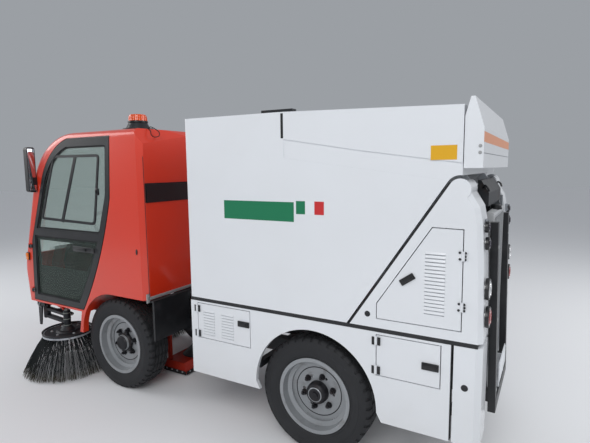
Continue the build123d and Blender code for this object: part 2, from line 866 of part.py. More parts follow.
# Beacon on the roof's rear left corner
beacon_x = 470.0
beacon_y = -560.0
with BuildPart() as beacon_base:
    with BuildSketch(Plane.XY.offset(cab_roof)):
        with Locations((beacon_x, beacon_y)):
            Circle(112)
    extrude(amount=8)
    with BuildSketch(Plane.XY.offset(cab_roof + 8)):
        with Locations((beacon_x, beacon_y)):
            Circle(90)
    with BuildSketch(Plane.XY.offset(cab_roof + 55)):
        with Locations((beacon_x, beacon_y)):
            Circle(66)
    loft()
save(beacon_base.part, "beacon_base")

with BuildPart() as beacon_lens:
    with BuildSketch(Plane.XY.offset(cab_roof + 55)):
        with Locations((beacon_x, beacon_y)):
            Circle(68)
    extrude(amount=58, taper=5)
    fillet(beacon_lens.faces().sort_by(Axis.Z)[-1].edges(), 12)
save(beacon_lens.part, "beacon_lens")

# Mirrors on bent arms from the front pillars
mirror_x = 674.0
mirror_y = cab_nose_y + 284
mirror_z = cab_roof - 291
mirror_arm_z = cab_roof - 387
mirror_width = 70.0
mirror_height = 378.0
mirror_depth = 60.0
with BuildPart() as mirror_left:
    with BuildSketch(Plane.XZ.offset(-mirror_y - mirror_depth / 2)):
        with Locations((mirror_x, mirror_z)):
            RectangleRounded(mirror_width, mirror_height, 20)
    extrude(amount=mirror_depth)
    fillet(mirror_left.faces().sort_by(Axis.Y)[0].edges(), 18)
    with BuildSketch(Plane.YZ.offset(cab_half + running_gap)):
        with Locations((mirror_y + 22, mirror_arm_z)):
            Rectangle(22, 64)
    extrude(amount=mirror_x - cab_half)
both_sides(mirror_left.part, "mirrors")

# Head lamps set in pockets of the nose, and the bumper strip below them
with BuildPart() as head_lamp:
    with BuildSketch(Plane.XZ.offset(-lamp_back + seat_gap)):
        with Locations((head_lamp_x, head_lamp_z)):
            RectangleRounded(head_lamp_width, head_lamp_height, 20)
    extrude(amount=40)
both_sides(head_lamp.part, "head_lamps")

bumper_half = 535.0
with BuildPart() as bumper:
    with BuildSketch(Plane.YZ.offset(-bumper_half)):
        with BuildLine():
            Polyline(
                (nose_foot[0] - 1.0, cab_floor_z + 4),
                (nose_foot[0] - 10.2, cab_floor_z + 84),
                (front_end + 8, cab_floor_z + 84),
                (front_end, cab_floor_z + 72),
                (front_end, cab_floor_z + 14),
                (front_end + 8, cab_floor_z + 4),
                close=True,
            )
        make_face()
    extrude(amount=2 * bumper_half)
save(bumper.part, "front_bumper")

# Back board under the cab's rear wall, and the flaps beside it
board_y = cab_rear + 20
with BuildPart() as back_board:
    with BuildSketch(Plane.XY.offset(470)):
        with Locations((0, board_y + 10)):
            Rectangle(2 * (body_half - 40), 18)
        with Locations((rail_x, board_y + 10), (-rail_x, board_y + 10)):
            Rectangle(rail_width + 2 * running_gap, 40, mode=Mode.SUBTRACT)
    extrude(amount=cab_rear_floor_z - 470 - 1)
    with BuildSketch(Plane.XY.offset(cab_rear_floor_z - 12)):
        with Locations((0, board_y + 5)):
            Rectangle(2 * (body_half - 30), 40)
    extrude(amount=11)
save(back_board.part, "back_board")

# Hopper: hollow body, cut away on the slant over the engine bay
slant = atan2(738.0, 492.0)
slant_normal = (-sin(slant), cos(slant))


def slant_line(clearance):
    """Point where the slant through the shoulder's tangent meets the given clearance, and its foot."""
    reach = shoulder_radius + clearance
    tangent = (pivot_y + slant_normal[0] * reach, pivot_z + slant_normal[1] * reach)
    return tangent


def on_slant(clearance, z):
    tangent = slant_line(clearance)
    return (tangent[0] - (tangent[1] - z) / (sin(slant) / cos(slant)), z)


def shoulder_point(radius, angle):
    return (pivot_y + radius * cos(radians(angle)), pivot_z + radius * sin(radians(angle)))


hopper_arc = shoulder_radius + hopper_gap
slant_degrees = degrees(slant)


roof_drop = 6.0


def hopper_outline(wall):
    """Closed side outline of the hopper, moved inwards by the wall."""
    reach = hopper_gap + wall
    arc = shoulder_radius + reach
    foot = on_slant(reach, hopper_bottom + wall)
    rear = hopper_rear - wall
    arc_end_angle = 90 - degrees(atan2(rear - pivot_y, arc)) if rear > pivot_y else 92
    arc_end = shoulder_point(arc, arc_end_angle)
    front_slope_top = hopper_top_front - wall
    Line((hopper_front + wall, hopper_bottom + wall), foot)
    Line(foot, slant_line(reach))
    ThreePointArc(slant_line(reach), shoulder_point(arc, (slant_degrees + 90 + arc_end_angle) / 2), arc_end)
    Polyline(
        arc_end,
        (rear, arc_end[1]),
        (rear, hopper_top_rear - wall),
        (notch_y, front_slope_top - roof_drop),
        (hopper_front + wall, front_slope_top),
        (hopper_front + wall, hopper_bottom + wall),
    )


hood_ear_x = 400.0
hood_pin_y = hopper_rear + 14
hood_pin_z = hopper_top_rear + 5
hood_bottom = pivot_z + 101
rod_eye_y = pivot_y - 412
rod_eye_z = pivot_z - 585
rod_pin_radius = 12.0
inlet_y = hopper_front + 264
inlet_radius = 90.0
mouth_low = hood_bottom + 16
mouth_high = hopper_top_rear - 60

# Line along the hopper's side, from the notch down to the hood, and the crease below it
side_line = [
    (notch_y + 6, hopper_top_front - 162),
    (notch_y + 479, pivot_z + 200),
    (hopper_rear, pivot_z + 127),
]
crease_line = [(notch_y + 6, hopper_top_front - 270), (hopper_rear - 80, pivot_z + 45)]
band_depth = 3.0
with BuildPart() as hopper:
    with BuildSketch(Plane.YZ.offset(-body_half)):
        with BuildLine():
            hopper_outline(0)
        make_face()
    extrude(amount=2 * body_half)
    corner_edges = hopper.edges().filter_by(Axis.Z).filter_by(lambda e: e.center().Y < hopper_front + 1)
    fillet(corner_edges, 14)
    with BuildSketch(Plane.YZ.offset(-body_half + hopper_wall)):
        with BuildLine():
            hopper_outline(hopper_wall)
        make_face()
    extrude(amount=2 * (body_half - hopper_wall), mode=Mode.SUBTRACT)
    # Mouth in the back wall, under the rear hood
    with BuildSketch(Plane.XZ.offset(-hopper_rear - 10)):
        with Locations((0, (mouth_low + mouth_high) / 2)):
            Rectangle(2 * (body_half - 60), mouth_high - mouth_low)
    extrude(amount=hopper_wall + 20, mode=Mode.SUBTRACT)
    # Ears round the fixed pins, and lugs for the eyes of the tip rods
    for x in (ear_x - 10, -ear_x - 10):
        with BuildSketch(Plane.YZ.offset(x)):
            with BuildLine():
                Polyline(
                    (pivot_y - 26, pivot_z),
                    shoulder_point(hopper_arc + 4, slant_degrees + 96),
                    shoulder_point(hopper_arc + 4, slant_degrees + 50),
                    (pivot_y + 20, pivot_z + 16),
                    (pivot_y + 20, pivot_z - 16),
                    (pivot_y, pivot_z - 26),
                    close=True,
                )
            make_face()
            with Locations((pivot_y, pivot_z)):
                Circle(pivot_pin_radius + running_gap, mode=Mode.SUBTRACT)
        extrude(amount=20)
    for x in (tip_pin_x - 34, tip_pin_x + 24, -tip_pin_x - 34, -tip_pin_x + 24):
        with BuildSketch(Plane.YZ.offset(x)):
            with BuildLine():
                Polyline(
                    on_slant(hopper_gap + 4, rod_eye_z - 40),
                    on_slant(hopper_gap + 4, rod_eye_z + 130),
                    (rod_eye_y + 26, rod_eye_z + 14),
                    (rod_eye_y + 20, rod_eye_z - 20),
                    (rod_eye_y - 16, rod_eye_z - 24),
                    close=True,
                )
            make_face()
        extrude(amount=10)
    # Heads of the rods' pins on the lugs. The pins turn with the rods' eyes, between the lugs
    for x in (tip_pin_x - 40, tip_pin_x + 34, -tip_pin_x - 40, -tip_pin_x + 34):
        with BuildSketch(Plane.YZ.offset(x)):
            with Locations((rod_eye_y, rod_eye_z)):
                Circle(rod_pin_radius)
        extrude(amount=6)
    # Suction inlet in the floor
    with BuildSketch(Plane.XY.offset(hopper_bottom - 5)):
        with Locations((0, inlet_y)):
            Circle(inlet_radius)
    extrude(amount=hopper_wall + 10, mode=Mode.SUBTRACT)
    # Shallow band in the sides between the crease and the line above it
    for x in (body_half - band_depth, -body_half - 1):
        with BuildSketch(Plane.YZ.offset(x)):
            with BuildLine():
                Polyline(
                    *crease_line,
                    (hopper_rear - 40, side_line[-1][1] - 40),
                    (hopper_rear + 1, side_line[-1][1] - 40),
                    (hopper_rear + 1, side_line[-1][1]),
                    *reversed(side_line),
                    close=True,
                )
            make_face()
        extrude(amount=band_depth + 1, mode=Mode.SUBTRACT)
    # Ears behind the roof that carry the rear hood's pins
    for x in (hood_ear_x, -hood_ear_x - 24):
        with BuildSketch(Plane.YZ.offset(x)):
            with BuildLine():
                Polyline(
                    (hopper_rear - 4, hood_pin_z - 30),
                    (hood_pin_y + 10, hood_pin_z - 10),
                    (hood_pin_y + 10, hood_pin_z + 8),
                    (hopper_rear - 4, hood_pin_z - 11),
                    close=True,
                )
            make_face()
        extrude(amount=24)
    for x in (hood_ear_x - 20, -hood_ear_x - 44):
        with BuildSketch(Plane.YZ.offset(x)):
            with Locations((hood_pin_y, hood_pin_z)):
                Circle(6)
        extrude(amount=64)
save(hopper.part, "hopper_shell")

# Upper rear panels laid on the hopper's sides, from the notch to the hood
lid_proud = 3.0
with BuildPart() as lid_panel:
    with BuildSketch(Plane.YZ.offset(body_half)):
        with BuildLine():
            Polyline(
                *side_line,
                (hopper_rear, hopper_top_rear - 6),
                (notch_y + 6, hopper_top_front - 12),
                close=True,
            )
        make_face()
    extrude(amount=lid_proud)
both_sides(lid_panel.part, "lid_panels")

# Rear hood: the hopper's tailgate, hinged along its top front edge
hood_front = hopper_rear + 4
hood_rear = rear_end - 68
hood_top = hopper_top_rear + 34
hood_knee_z = hood_bottom + 0.565 * (hood_top - hood_bottom)
hood_lean = 24.0
hood_lean_height = 90.0
hood_wall = 20.0


def hood_outline(wall):
    """Side outline of the hood, or of the space in it, which is open in front and below."""
    open_gap = 1 if wall else 0
    lean = 0 if wall else hood_lean
    Polyline(
        (hood_front - open_gap, hood_bottom - open_gap),
        (hood_rear - wall, hood_bottom - open_gap),
        (hood_rear - wall, hood_knee_z - wall * 0.4),
        (hood_rear - 44 - wall * 0.5, hood_top - wall),
        (hood_front - open_gap + lean, hood_top - wall),
        (hood_front - open_gap, hood_top - wall - hood_lean_height),
        close=True,
    )


with BuildPart() as hood:
    with BuildSketch(Plane.YZ.offset(-body_half)):
        with BuildLine():
            hood_outline(0)
        make_face()
    extrude(amount=2 * body_half)
    with BuildSketch(Plane.YZ.offset(-body_half + hood_wall)):
        with BuildLine():
            hood_outline(hood_wall)
        make_face()
    extrude(amount=2 * (body_half - hood_wall), mode=Mode.SUBTRACT)
    for x in (hood_ear_x - 18, hood_ear_x + 26, -hood_ear_x - 42, -hood_ear_x + 2):
        with BuildSketch(Plane.YZ.offset(x)):
            with Locations((hood_pin_y, hood_pin_z)):
                Circle(12)
            with BuildLine():
                Polyline(
                    (hood_pin_y - 5, hood_pin_z + 8),
                    (hood_pin_y + 10, hood_pin_z + 26),
                    (hood_pin_y + 26, hood_pin_z + 26),
                    (hood_pin_y + 26, hood_pin_z + 8),
                    (hood_pin_y + 8, hood_pin_z - 8),
                    close=True,
                )
            make_face()
            with Locations((hood_pin_y, hood_pin_z)):
                Circle(6 + running_gap, mode=Mode.SUBTRACT)
        extrude(amount=16)
save(hood.part, "rear_hood")

# Low bar on the roof, in front of the notch
roof_fall = roof_drop / (notch_y - hopper_front)
bar_front = notch_y - 222
bar_back = notch_y
bar_x = 500.0
with BuildPart() as roof_bar:
    with BuildSketch(Plane.YZ.offset(bar_x - 25)):
        with BuildLine():
            Polyline(
                (bar_front, hopper_top_front - roof_fall * (bar_front - hopper_front) + seat_gap),
                (bar_back, hopper_top_front - roof_fall * (bar_back - hopper_front) + seat_gap),
                (bar_back, hopper_top_front + 26),
                (bar_front, hopper_top_front + 28),
                close=True,
            )
        make_face()
    extrude(amount=50)
save(roof_bar.part, "roof_bar")

# Lower side panels with the rear wheel arch and the locker doorways
front_locker = {
    "front": hopper_front + 62,
    "back": arch_front_y - 42,
    "low": 611.0,
    "high": 848.0,
    "hinges": [625.0, 797.0],
    "louvre_rows": 9,
    "louvre_low": 641.0,
    "louvre_columns": [(0.105, 0.331), (0.462, 0.699)],
}
rear_locker = {
    "front": arch_y + arch_radius - 1,
    "back": panel_split_y - 58,
    "low": 622.0,
    "high": 847.0,
    "hinges": [638.0, 804.0],
    "louvre_rows": 0,
    "louvre_low": 0.0,
    "louvre_columns": [],
}
louvre_pitch = 19.25
louvre_height = 11.0
louvre_proud = 6.0
louvre_depth = 9.0
louvre_slot = 6.0


def locker_sketch(locker, gap, mode=Mode.ADD):
    with Locations(((locker["front"] + locker["back"]) / 2, (locker["low"] + locker["high"]) / 2)):
        Rectangle(
            locker["back"] - locker["front"] + 2 * gap,
            locker["high"] - locker["low"] + 2 * gap,
            mode=mode,
        )


def louvre_hood_sketch(low, rows):
    """Section of a column of louvres: a sloping hood over each slot."""
    for row in range(rows):
        z = low + row * louvre_pitch
        Polygon(
            (body_half - 1, z),
            (body_half + louvre_proud, z),
            (body_half, z + louvre_height),
            (body_half - 1, z + louvre_height),
            align=None,
        )


def louvre_slot_sketch(low, rows):
    """Section of the slots: shallow, under the hoods' lips."""
    for row in range(rows):
        with Locations((body_half - louvre_depth / 2, low - louvre_slot / 2 + row * louvre_pitch)):
            Rectangle(louvre_depth, louvre_slot)


with BuildPart() as skirt:
    with BuildSketch(Plane.YZ.offset(body_half - panel_wall)):
        with BuildLine():
            arch_front = (arch_y - arch_radius, arch_z)
            arch_back = (arch_y + arch_radius, arch_z)
            Polyline(
                arch_back,
                (arch_back[0] + 28, skirt_bottom),
                (panel_split_y - panel_split_gap / 2, skirt_bottom),
                (panel_split_y - panel_split_gap / 2, belt_bottom),
                (hopper_front, belt_bottom),
                (hopper_front, skirt_bottom),
                (arch_front[0] + 28, skirt_bottom),
                arch_front,
            )
            ThreePointArc(arch_front, (arch_y, arch_z + arch_radius), arch_back)
        make_face()
        locker_sketch(front_locker, door_gap, Mode.SUBTRACT)
        locker_sketch(rear_locker, door_gap, Mode.SUBTRACT)
    extrude(amount=panel_wall)
    for locker in (front_locker, rear_locker):
        for z in locker["hinges"]:
            for low in (z - hinge_foot - running_gap, z + hinge_height + running_gap):
                with BuildSketch(Plane.XY.offset(low)):
                    barrel_sketch(body_half, locker["front"] - door_gap / 2, -1, False)
                extrude(amount=hinge_foot)
            with BuildSketch(Plane.XY.offset(z - hinge_foot)):
                pin_sketch(body_half, locker["front"] - door_gap / 2)
            extrude(amount=hinge_height + 2 * hinge_foot)
both_sides(skirt.part, "side_skirts")

for name, locker in {"front_locker": front_locker, "rear_locker": rear_locker}.items():
    with BuildPart() as locker_door:
        with BuildSketch(Plane.YZ.offset(body_half - panel_wall)):
            locker_sketch(locker, 0)
        extrude(amount=panel_wall)
        for start, end in locker["louvre_columns"]:
            width = locker["back"] - locker["front"]
            with BuildSketch(Plane.XZ.offset(-locker["front"] - start * width)):
                louvre_hood_sketch(locker["louvre_low"], locker["louvre_rows"])
            extrude(amount=-(end - start) * width)
            with BuildSketch(Plane.XZ.offset(-locker["front"] - start * width)):
                louvre_slot_sketch(locker["louvre_low"], locker["louvre_rows"])
            extrude(amount=-(end - start) * width, mode=Mode.SUBTRACT)
        for z in locker["hinges"]:
            with BuildSketch(Plane.XY.offset(z)):
                barrel_sketch(body_half, locker["front"] - door_gap / 2, 1, True)
            extrude(amount=hinge_height)
    save_pair(locker_door.part, name)

# Belt between the lower panels and the hopper
with BuildPart() as belt:
    with BuildSketch(Plane.XY.offset(belt_bottom)):
        with BuildLine():
            Polyline(
                (body_half - 4, hopper_front),
                (body_half - 4, rear_face_y - 22),
                (body_half - 90, rear_face_y - 22),
                (body_half - 90, hopper_front),
                close=True,
            )
        make_face()
    extrude(amount=belt_height)
both_sides(belt.part, "belt_trim")

# Engine side panels: shoulder round the hopper's pivot, wrapped on to the rear face
rear_points = [
    (rear_face_y - 37, 1560),
    (rear_face_y - 22, 1480),
    (rear_face_y - 12, 1300),
    (rear_face_y, 900),
    (rear_face_y, belt_top),
]
wrap_x = 440.0


def engine_outline(shift):
    foot = on_slant(0, belt_top)
    start = slant_line(0)
    end = shoulder_point(shoulder_radius, -18)
    Line((foot[0] - shift, foot[1]), (start[0] - shift, start[1]))
    middle = shoulder_point(shoulder_radius, 60)
    ThreePointArc((start[0] - shift, start[1]), (middle[0] - shift, middle[1]), (end[0] - shift, end[1]))
    Polyline(
        (end[0] - shift, end[1]),
        *[(y - shift, z) for y, z in rear_points],
        (foot[0] - shift, foot[1]),
    )


engine_hinge_y = pivot_y + 27
engine_hinge_zs = [1053.0, 1307.0]
engine_door_points = [
    (pivot_y - 124, 1451),
    (pivot_y + 22, 1448),
    (pivot_y + 24, 943),
    (pivot_y - 409, 943),
    (pivot_y - 409, 1024),
]
engine_louvre_rows = 17
engine_louvre_low = 1011.0
engine_louvre_span = (pivot_y - 157, pivot_y - 57)
with BuildPart() as engine_panel:
    with BuildSketch(Plane.YZ.offset(wrap_x)):
        with BuildLine():
            engine_outline(0)
        make_face()
    extrude(amount=body_half - wrap_x)
    wrap_edges = engine_panel.edges().filter_by(
        lambda e: (
            e.center().X > body_half - 1
            and e.center().Y > rear_face_y - 60
            and e.center().Z > belt_top + 2
        )
    )
    chamfer(wrap_edges, 24)
    with BuildSketch(Plane.YZ.offset(wrap_x)):
        with BuildLine():
            engine_outline(panel_wall)
        make_face()
    extrude(amount=body_half - wrap_x - panel_wall, mode=Mode.SUBTRACT)
    # What is left of the wrap's thin front slivers goes with the shoulder
    with BuildSketch(Plane.YZ.offset(wrap_x)):
        with BuildLine():
            Polyline(
                (on_slant(0, belt_top)[0] - 155, belt_top - 1),
                (rear_face_y - panel_wall, belt_top - 1),
                *[(y - panel_wall, z) for y, z in reversed(rear_points[:-1])],
                (pivot_y + 8, pivot_z + 115),
                (pivot_y - 112, pivot_z + 115),
                close=True,
            )
        make_face()
    extrude(amount=body_half - wrap_x - panel_wall, mode=Mode.SUBTRACT)
    with BuildSketch(Plane.YZ.offset(body_half - panel_wall - 1)):
        with BuildLine():
            Polyline(*engine_door_points, close=True)
        make_face()
        offset(amount=door_gap, kind=Kind.INTERSECTION, mode=Mode.REPLACE)
    extrude(amount=panel_wall + 2, mode=Mode.SUBTRACT)
    for z in engine_hinge_zs:
        for low in (z - hinge_foot - running_gap, z + hinge_height + running_gap):
            with BuildSketch(Plane.XY.offset(low)):
                barrel_sketch(body_half, engine_hinge_y, 1, False)
            extrude(amount=hinge_foot)
        with BuildSketch(Plane.XY.offset(z - hinge_foot)):
            pin_sketch(body_half, engine_hinge_y)
        extrude(amount=hinge_height + 2 * hinge_foot)
both_sides(engine_panel.part, "engine_panels")

with BuildPart() as engine_door:
    with BuildSketch(Plane.YZ.offset(body_half - panel_wall)):
        with BuildLine():
            Polyline(*engine_door_points, close=True)
        make_face()
    extrude(amount=panel_wall)
    with BuildSketch(Plane.XZ.offset(-engine_louvre_span[0])):
        louvre_hood_sketch(engine_louvre_low, engine_louvre_rows)
    extrude(amount=engine_louvre_span[0] - engine_louvre_span[1])
    with BuildSketch(Plane.XZ.offset(-engine_louvre_span[0])):
        louvre_slot_sketch(engine_louvre_low, engine_louvre_rows)
    extrude(amount=engine_louvre_span[0] - engine_louvre_span[1], mode=Mode.SUBTRACT)
    for z in engine_hinge_zs:
        with BuildSketch(Plane.XY.offset(z)):
            barrel_sketch(body_half, engine_hinge_y, -1, True)
        extrude(amount=hinge_height)
save_pair(engine_door.part, "engine_door")

# Lower rear corners, wrapped on to the rear face
with BuildPart() as corner:
    with BuildSketch(Plane.XY.offset(skirt_bottom)):
        with BuildLine():
            Polyline(
                (body_half, panel_split_y + panel_split_gap / 2),
                (body_half, rear_face_y - 30),
                (body_half - 30, rear_face_y),
                (wrap_x, rear_face_y),
                (wrap_x, rear_face_y - panel_wall),
                (body_half - 40, rear_face_y - panel_wall),
                (body_half - panel_wall, rear_face_y - 40),
                (body_half - panel_wall, panel_split_y + panel_split_gap / 2),
                close=True,
            )
        make_face()
    extrude(amount=belt_bottom - skirt_bottom)
both_sides(corner.part, "rear_corners")

# Tail lamps on the rear face
lamp_x = body_half - 80
lamp_depth = 18.0
# Columns: height of the lamp's middle, radius
lamps = [(1460, 24), (1379, 28), (1152, 50), (1011, 50)]


def rear_face_at(z):
    """Depth of the engine panel's rear face at a height."""
    for (low_y, low_z), (high_y, high_z) in zip(rear_points[1:], rear_points[:-1]):
        if z <= high_z:
            face = low_y + (high_y - low_y) * (z - low_z) / (high_z - low_z)
    return face


with BuildPart() as lamp:
    for z, radius in lamps:
        with BuildSketch(Plane.XZ.offset(-rear_face_at(z - radius) - seat_gap)):
            with Locations((lamp_x, z)):
                Circle(radius)
        extrude(amount=-lamp_depth)
both_sides(lamp.part, "tail_lamps")

# Rear guard: two leaning posts and a low bar, on feet from the rear beam
guard_depth = 40.0
guard_front = rear_end - guard_depth
guard_top = 1455.0
guard_bottom = 392.0
guard_lean = 22.0
guard_bar = 70.0
hitch_spacing = 120.0
hitch_hole_radius = 8.5
with BuildPart() as guard:
    for x in (guard_x - guard_width / 2, -guard_x - guard_width / 2):
        with BuildSketch(Plane.YZ.offset(x)):
            with BuildLine():
                Polyline(
                    (guard_front, guard_bottom),
                    (rear_end, guard_bottom),
                    (rear_end - guard_lean, guard_top),
                    (guard_front - guard_lean, guard_top),
                    close=True,
                )
            make_face()
        extrude(amount=guard_width)
    with BuildSketch(Plane.XZ.offset(-guard_front)):
        with Locations((0, guard_bottom + guard_bar / 2)):
            Rectangle(2 * guard_x, guard_bar)
            with GridLocations(hitch_spacing, 1, 2, 1):
                Circle(hitch_hole_radius, mode=Mode.SUBTRACT)
    extrude(amount=-guard_depth)
    with BuildSketch(Plane.XZ.offset(-beam_back - seat_gap)):
        with Locations((guard_x, rail_bottom + rail_height / 2), (-guard_x, rail_bottom + rail_height / 2)):
            Rectangle(guard_width, 60)
    extrude(amount=-(guard_front - beam_back - seat_gap))
save(guard.part, "rear_guard")

# Cooler box between the guard's posts, with its ribbed grille
cooler_half = guard_x - guard_width / 2 - 2
post_back = pivot_y + post_size / 2 + running_gap
cooler_front = rear_face_y - 47
cooler_back = rear_face_y - 12
cooler_top = 1505.0
cooler_low = 470.0
cooler_rim = 30.0
slat_count = 30
slat_depth = 12.0
bracket_low = 1000.0
bracket_height = 60.0
with BuildPart() as cooler:
    with BuildSketch(Plane.YZ.offset(-cooler_half)):
        with BuildLine():
            Polyline(
                (cooler_front, cooler_low),
                (cooler_back, cooler_low),
                (cooler_back, cooler_top - 6),
                (cooler_front, cooler_top),
                close=True,
            )
        make_face()
    extrude(amount=2 * cooler_half)
    slat_pitch = (cooler_top - cooler_low - 2 * cooler_rim) / slat_count
    with BuildSketch(Plane.XZ.offset(-cooler_back)):
        with Locations((0, (cooler_top + cooler_low) / 2)):
            with GridLocations(1, slat_pitch, 1, slat_count):
                Rectangle(2 * (cooler_half - cooler_rim), slat_pitch * 0.55)
    extrude(amount=slat_depth, mode=Mode.SUBTRACT)
    with BuildSketch(Plane.XY.offset(bracket_low)):
        for side in (1, -1):
            with Locations((side * (cooler_half + post_x) / 2, (post_back + cooler_front) / 2 + 5)):
                Rectangle(post_x - cooler_half + post_size, cooler_front - post_back + 10)
    extrude(amount=bracket_height)
save(cooler.part, "rear_grille")

# Chute under the hopper's mouth
chute_half = 300.0
chute_back = rear_face_y - 37
chute_low = 1540.0
with BuildPart() as chute:
    with BuildSketch(Plane.YZ.offset(-chute_half)):
        with BuildLine():
            Polyline(
                (chute_back - 57, pivot_z + 35),
                (chute_back - 41, pivot_z + 35),
                (chute_back, pivot_z - 33),
                (chute_back, chute_low),
                (chute_back - 57, chute_low),
                close=True,
            )
        make_face()
    extrude(amount=2 * chute_half)
    with BuildSketch(Plane.XY.offset(chute_low + 30)):
        with Locations((0, (post_back + chute_back - 43) / 2)):
            Rectangle(2 * post_x + post_size, chute_back - 43 - post_back)
    extrude(amount=30)
save(chute.part, "chute")

# Engine as one block on the rails
with BuildPart() as engine:
    with BuildSketch(Plane.XY.offset(rail_top + seat_gap)):
        with Locations((0, rear_end - 330)):
            Rectangle(440, 380)
    extrude(amount=500)
    fillet(engine.edges().filter_by(Axis.Z), 20)
save(engine.part, "engine_block")

# Tip cylinders: barrels on the cross shaft, rods to the hopper's lugs
rod_dy = rod_eye_y - tip_pin_y
rod_dz = rod_eye_z - tip_pin_z
rod_rest = hypot(rod_dy, rod_dz)
barrel_length = 470.0
barrel_radius = 30.0
barrel_bore = 19.0
rod_radius = 17.0
rod_inner = 62.0


def cylinder_plane(distance):
    return Plane(
        origin=(
            tip_pin_x,
            tip_pin_y + rod_dy / rod_rest * distance,
            tip_pin_z + rod_dz / rod_rest * distance,
        ),
        x_dir=(1, 0, 0),
        z_dir=(0, rod_dy / rod_rest, rod_dz / rod_rest),
    )


with BuildPart() as barrel:
    with BuildSketch(cylinder_plane(30)):
        Circle(barrel_radius)
    extrude(amount=barrel_length - 30)
    with BuildSketch(Plane.YZ.offset(tip_pin_x - 20)):
        with Locations((tip_pin_y, tip_pin_z)):
            Circle(30)
    extrude(amount=40)
    with BuildSketch(cylinder_plane(0)):
        Rectangle(40, 40)
    extrude(amount=40)
    with BuildSketch(cylinder_plane(rod_inner - 4)):
        Circle(barrel_bore)
    extrude(amount=barrel_length, mode=Mode.SUBTRACT)
    with BuildSketch(Plane.YZ.offset(tip_pin_x - 20)):
        with Locations((tip_pin_y, tip_pin_z)):
            Circle(tip_pin_radius + running_gap)
    extrude(amount=40, mode=Mode.SUBTRACT)
both_sides(barrel.part, "tip_barrels")

with BuildPart() as rod:
    with BuildSketch(cylinder_plane(rod_inner)):
        Circle(rod_radius)
    extrude(amount=rod_rest - rod_inner - 10)
    with BuildSketch(Plane.YZ.offset(tip_pin_x - 20)):
        with Locations((rod_eye_y, rod_eye_z)):
            Circle(26)
    extrude(amount=40)
    with BuildSketch(Plane.YZ.offset(tip_pin_x - 22)):
        with Locations((rod_eye_y, rod_eye_z)):
            Circle(rod_pin_radius)
    extrude(amount=44)
both_sides(rod.part, "tip_rods")

# Suction mouth behind the front wheels, and its pipe up to the hopper's inlet
suction_half = 190.0
suction_wall = 8.0
mouth_front = front_axle_y + 70
mouth_back = front_axle_y + 330
mouth_height = 24.0
mouth_top = 112.0
mouth_taper = 24.0
hanger_size = 28.0
pipe_radius = 75.0
pipe_wall = 5.0
pipe_low = (front_axle_y + 240, mouth_top)
pipe_high = (inlet_y, hopper_bottom - running_gap)


def mouth_outline(wall):
    """Side outline of the suction mouth, or of the space in it, which is open below."""
    top = mouth_top - wall
    low = mouth_height - wall / 2
    Polyline(
        (mouth_front + wall, low),
        (mouth_back - wall, low),
        (mouth_back - mouth_taper - wall, top),
        (mouth_front + mouth_taper + wall, top),
        close=True,
    )


with BuildPart() as suction:
    with BuildSketch(Plane.YZ.offset(-suction_half)):
        with BuildLine():
            mouth_outline(0)
        make_face()
    extrude(amount=2 * suction_half)
    with BuildSketch(Plane.YZ.offset(-suction_half + suction_wall)):
        with BuildLine():
            mouth_outline(suction_wall)
        make_face()
    extrude(amount=2 * (suction_half - suction_wall), mode=Mode.SUBTRACT)
    # Hangers from the rails
    with BuildSketch(Plane.XY.offset(mouth_top - suction_wall / 2)):
        for side in (1, -1):
            with Locations((side * (rail_x - 20), mouth_front + 60)):
                Rectangle(hanger_size, hanger_size)
    extrude(amount=rail_bottom - running_gap - mouth_top + suction_wall / 2)
save(suction.part, "suction_mouth")

pipe_reach = hypot(pipe_high[0] - pipe_low[0], pipe_high[1] - pipe_low[1])
pipe_plane = Plane(
    origin=(0, pipe_low[0], pipe_low[1]),
    x_dir=(1, 0, 0),
    z_dir=(0, (pipe_high[0] - pipe_low[0]) / pipe_reach, (pipe_high[1] - pipe_low[1]) / pipe_reach),
)
with BuildPart() as pipe:
    with BuildSketch(pipe_plane.offset(-60)):
        Circle(pipe_radius)
        Circle(pipe_radius - pipe_wall, mode=Mode.SUBTRACT)
    extrude(amount=pipe_reach + 120)
    with BuildSketch(Plane.XY.offset(mouth_top + seat_gap)):
        with Locations((0, (pipe_low[0] + pipe_high[0]) / 2)):
            Rectangle(4 * pipe_radius, 2 * pipe_reach)
    extrude(amount=pipe_high[1] - mouth_top - seat_gap, mode=Mode.INTERSECT)
save(pipe.part, "suction_pipe")
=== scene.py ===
import json
import math
import random

import bmesh
import bpy
from mathutils import Matrix, Quaternion, Vector


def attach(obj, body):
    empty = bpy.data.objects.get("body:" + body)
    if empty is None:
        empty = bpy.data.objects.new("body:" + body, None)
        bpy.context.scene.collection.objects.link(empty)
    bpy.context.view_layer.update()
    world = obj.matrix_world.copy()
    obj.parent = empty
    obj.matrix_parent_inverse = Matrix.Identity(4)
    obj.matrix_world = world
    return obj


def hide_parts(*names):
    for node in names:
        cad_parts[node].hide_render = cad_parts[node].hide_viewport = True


# Street sweeper truck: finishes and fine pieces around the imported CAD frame.
# Metres, +Z up, -Y forward, +X the vehicle's left.

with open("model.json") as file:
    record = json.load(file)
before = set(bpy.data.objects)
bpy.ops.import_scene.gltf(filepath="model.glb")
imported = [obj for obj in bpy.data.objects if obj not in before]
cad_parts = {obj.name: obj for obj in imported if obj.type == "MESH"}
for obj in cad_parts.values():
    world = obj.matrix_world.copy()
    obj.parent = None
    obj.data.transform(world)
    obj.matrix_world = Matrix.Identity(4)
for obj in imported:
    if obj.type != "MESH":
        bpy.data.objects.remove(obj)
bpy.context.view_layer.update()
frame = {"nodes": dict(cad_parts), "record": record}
nodes = frame["nodes"]
print("frame loaded:", len(nodes), "nodes")


def feed(tree, target, value):
    # A shader's input takes a link from another node, or a plain value
    if isinstance(value, Sock):
        tree.links.new(value.socket, target)
    else:
        target.default_value = value


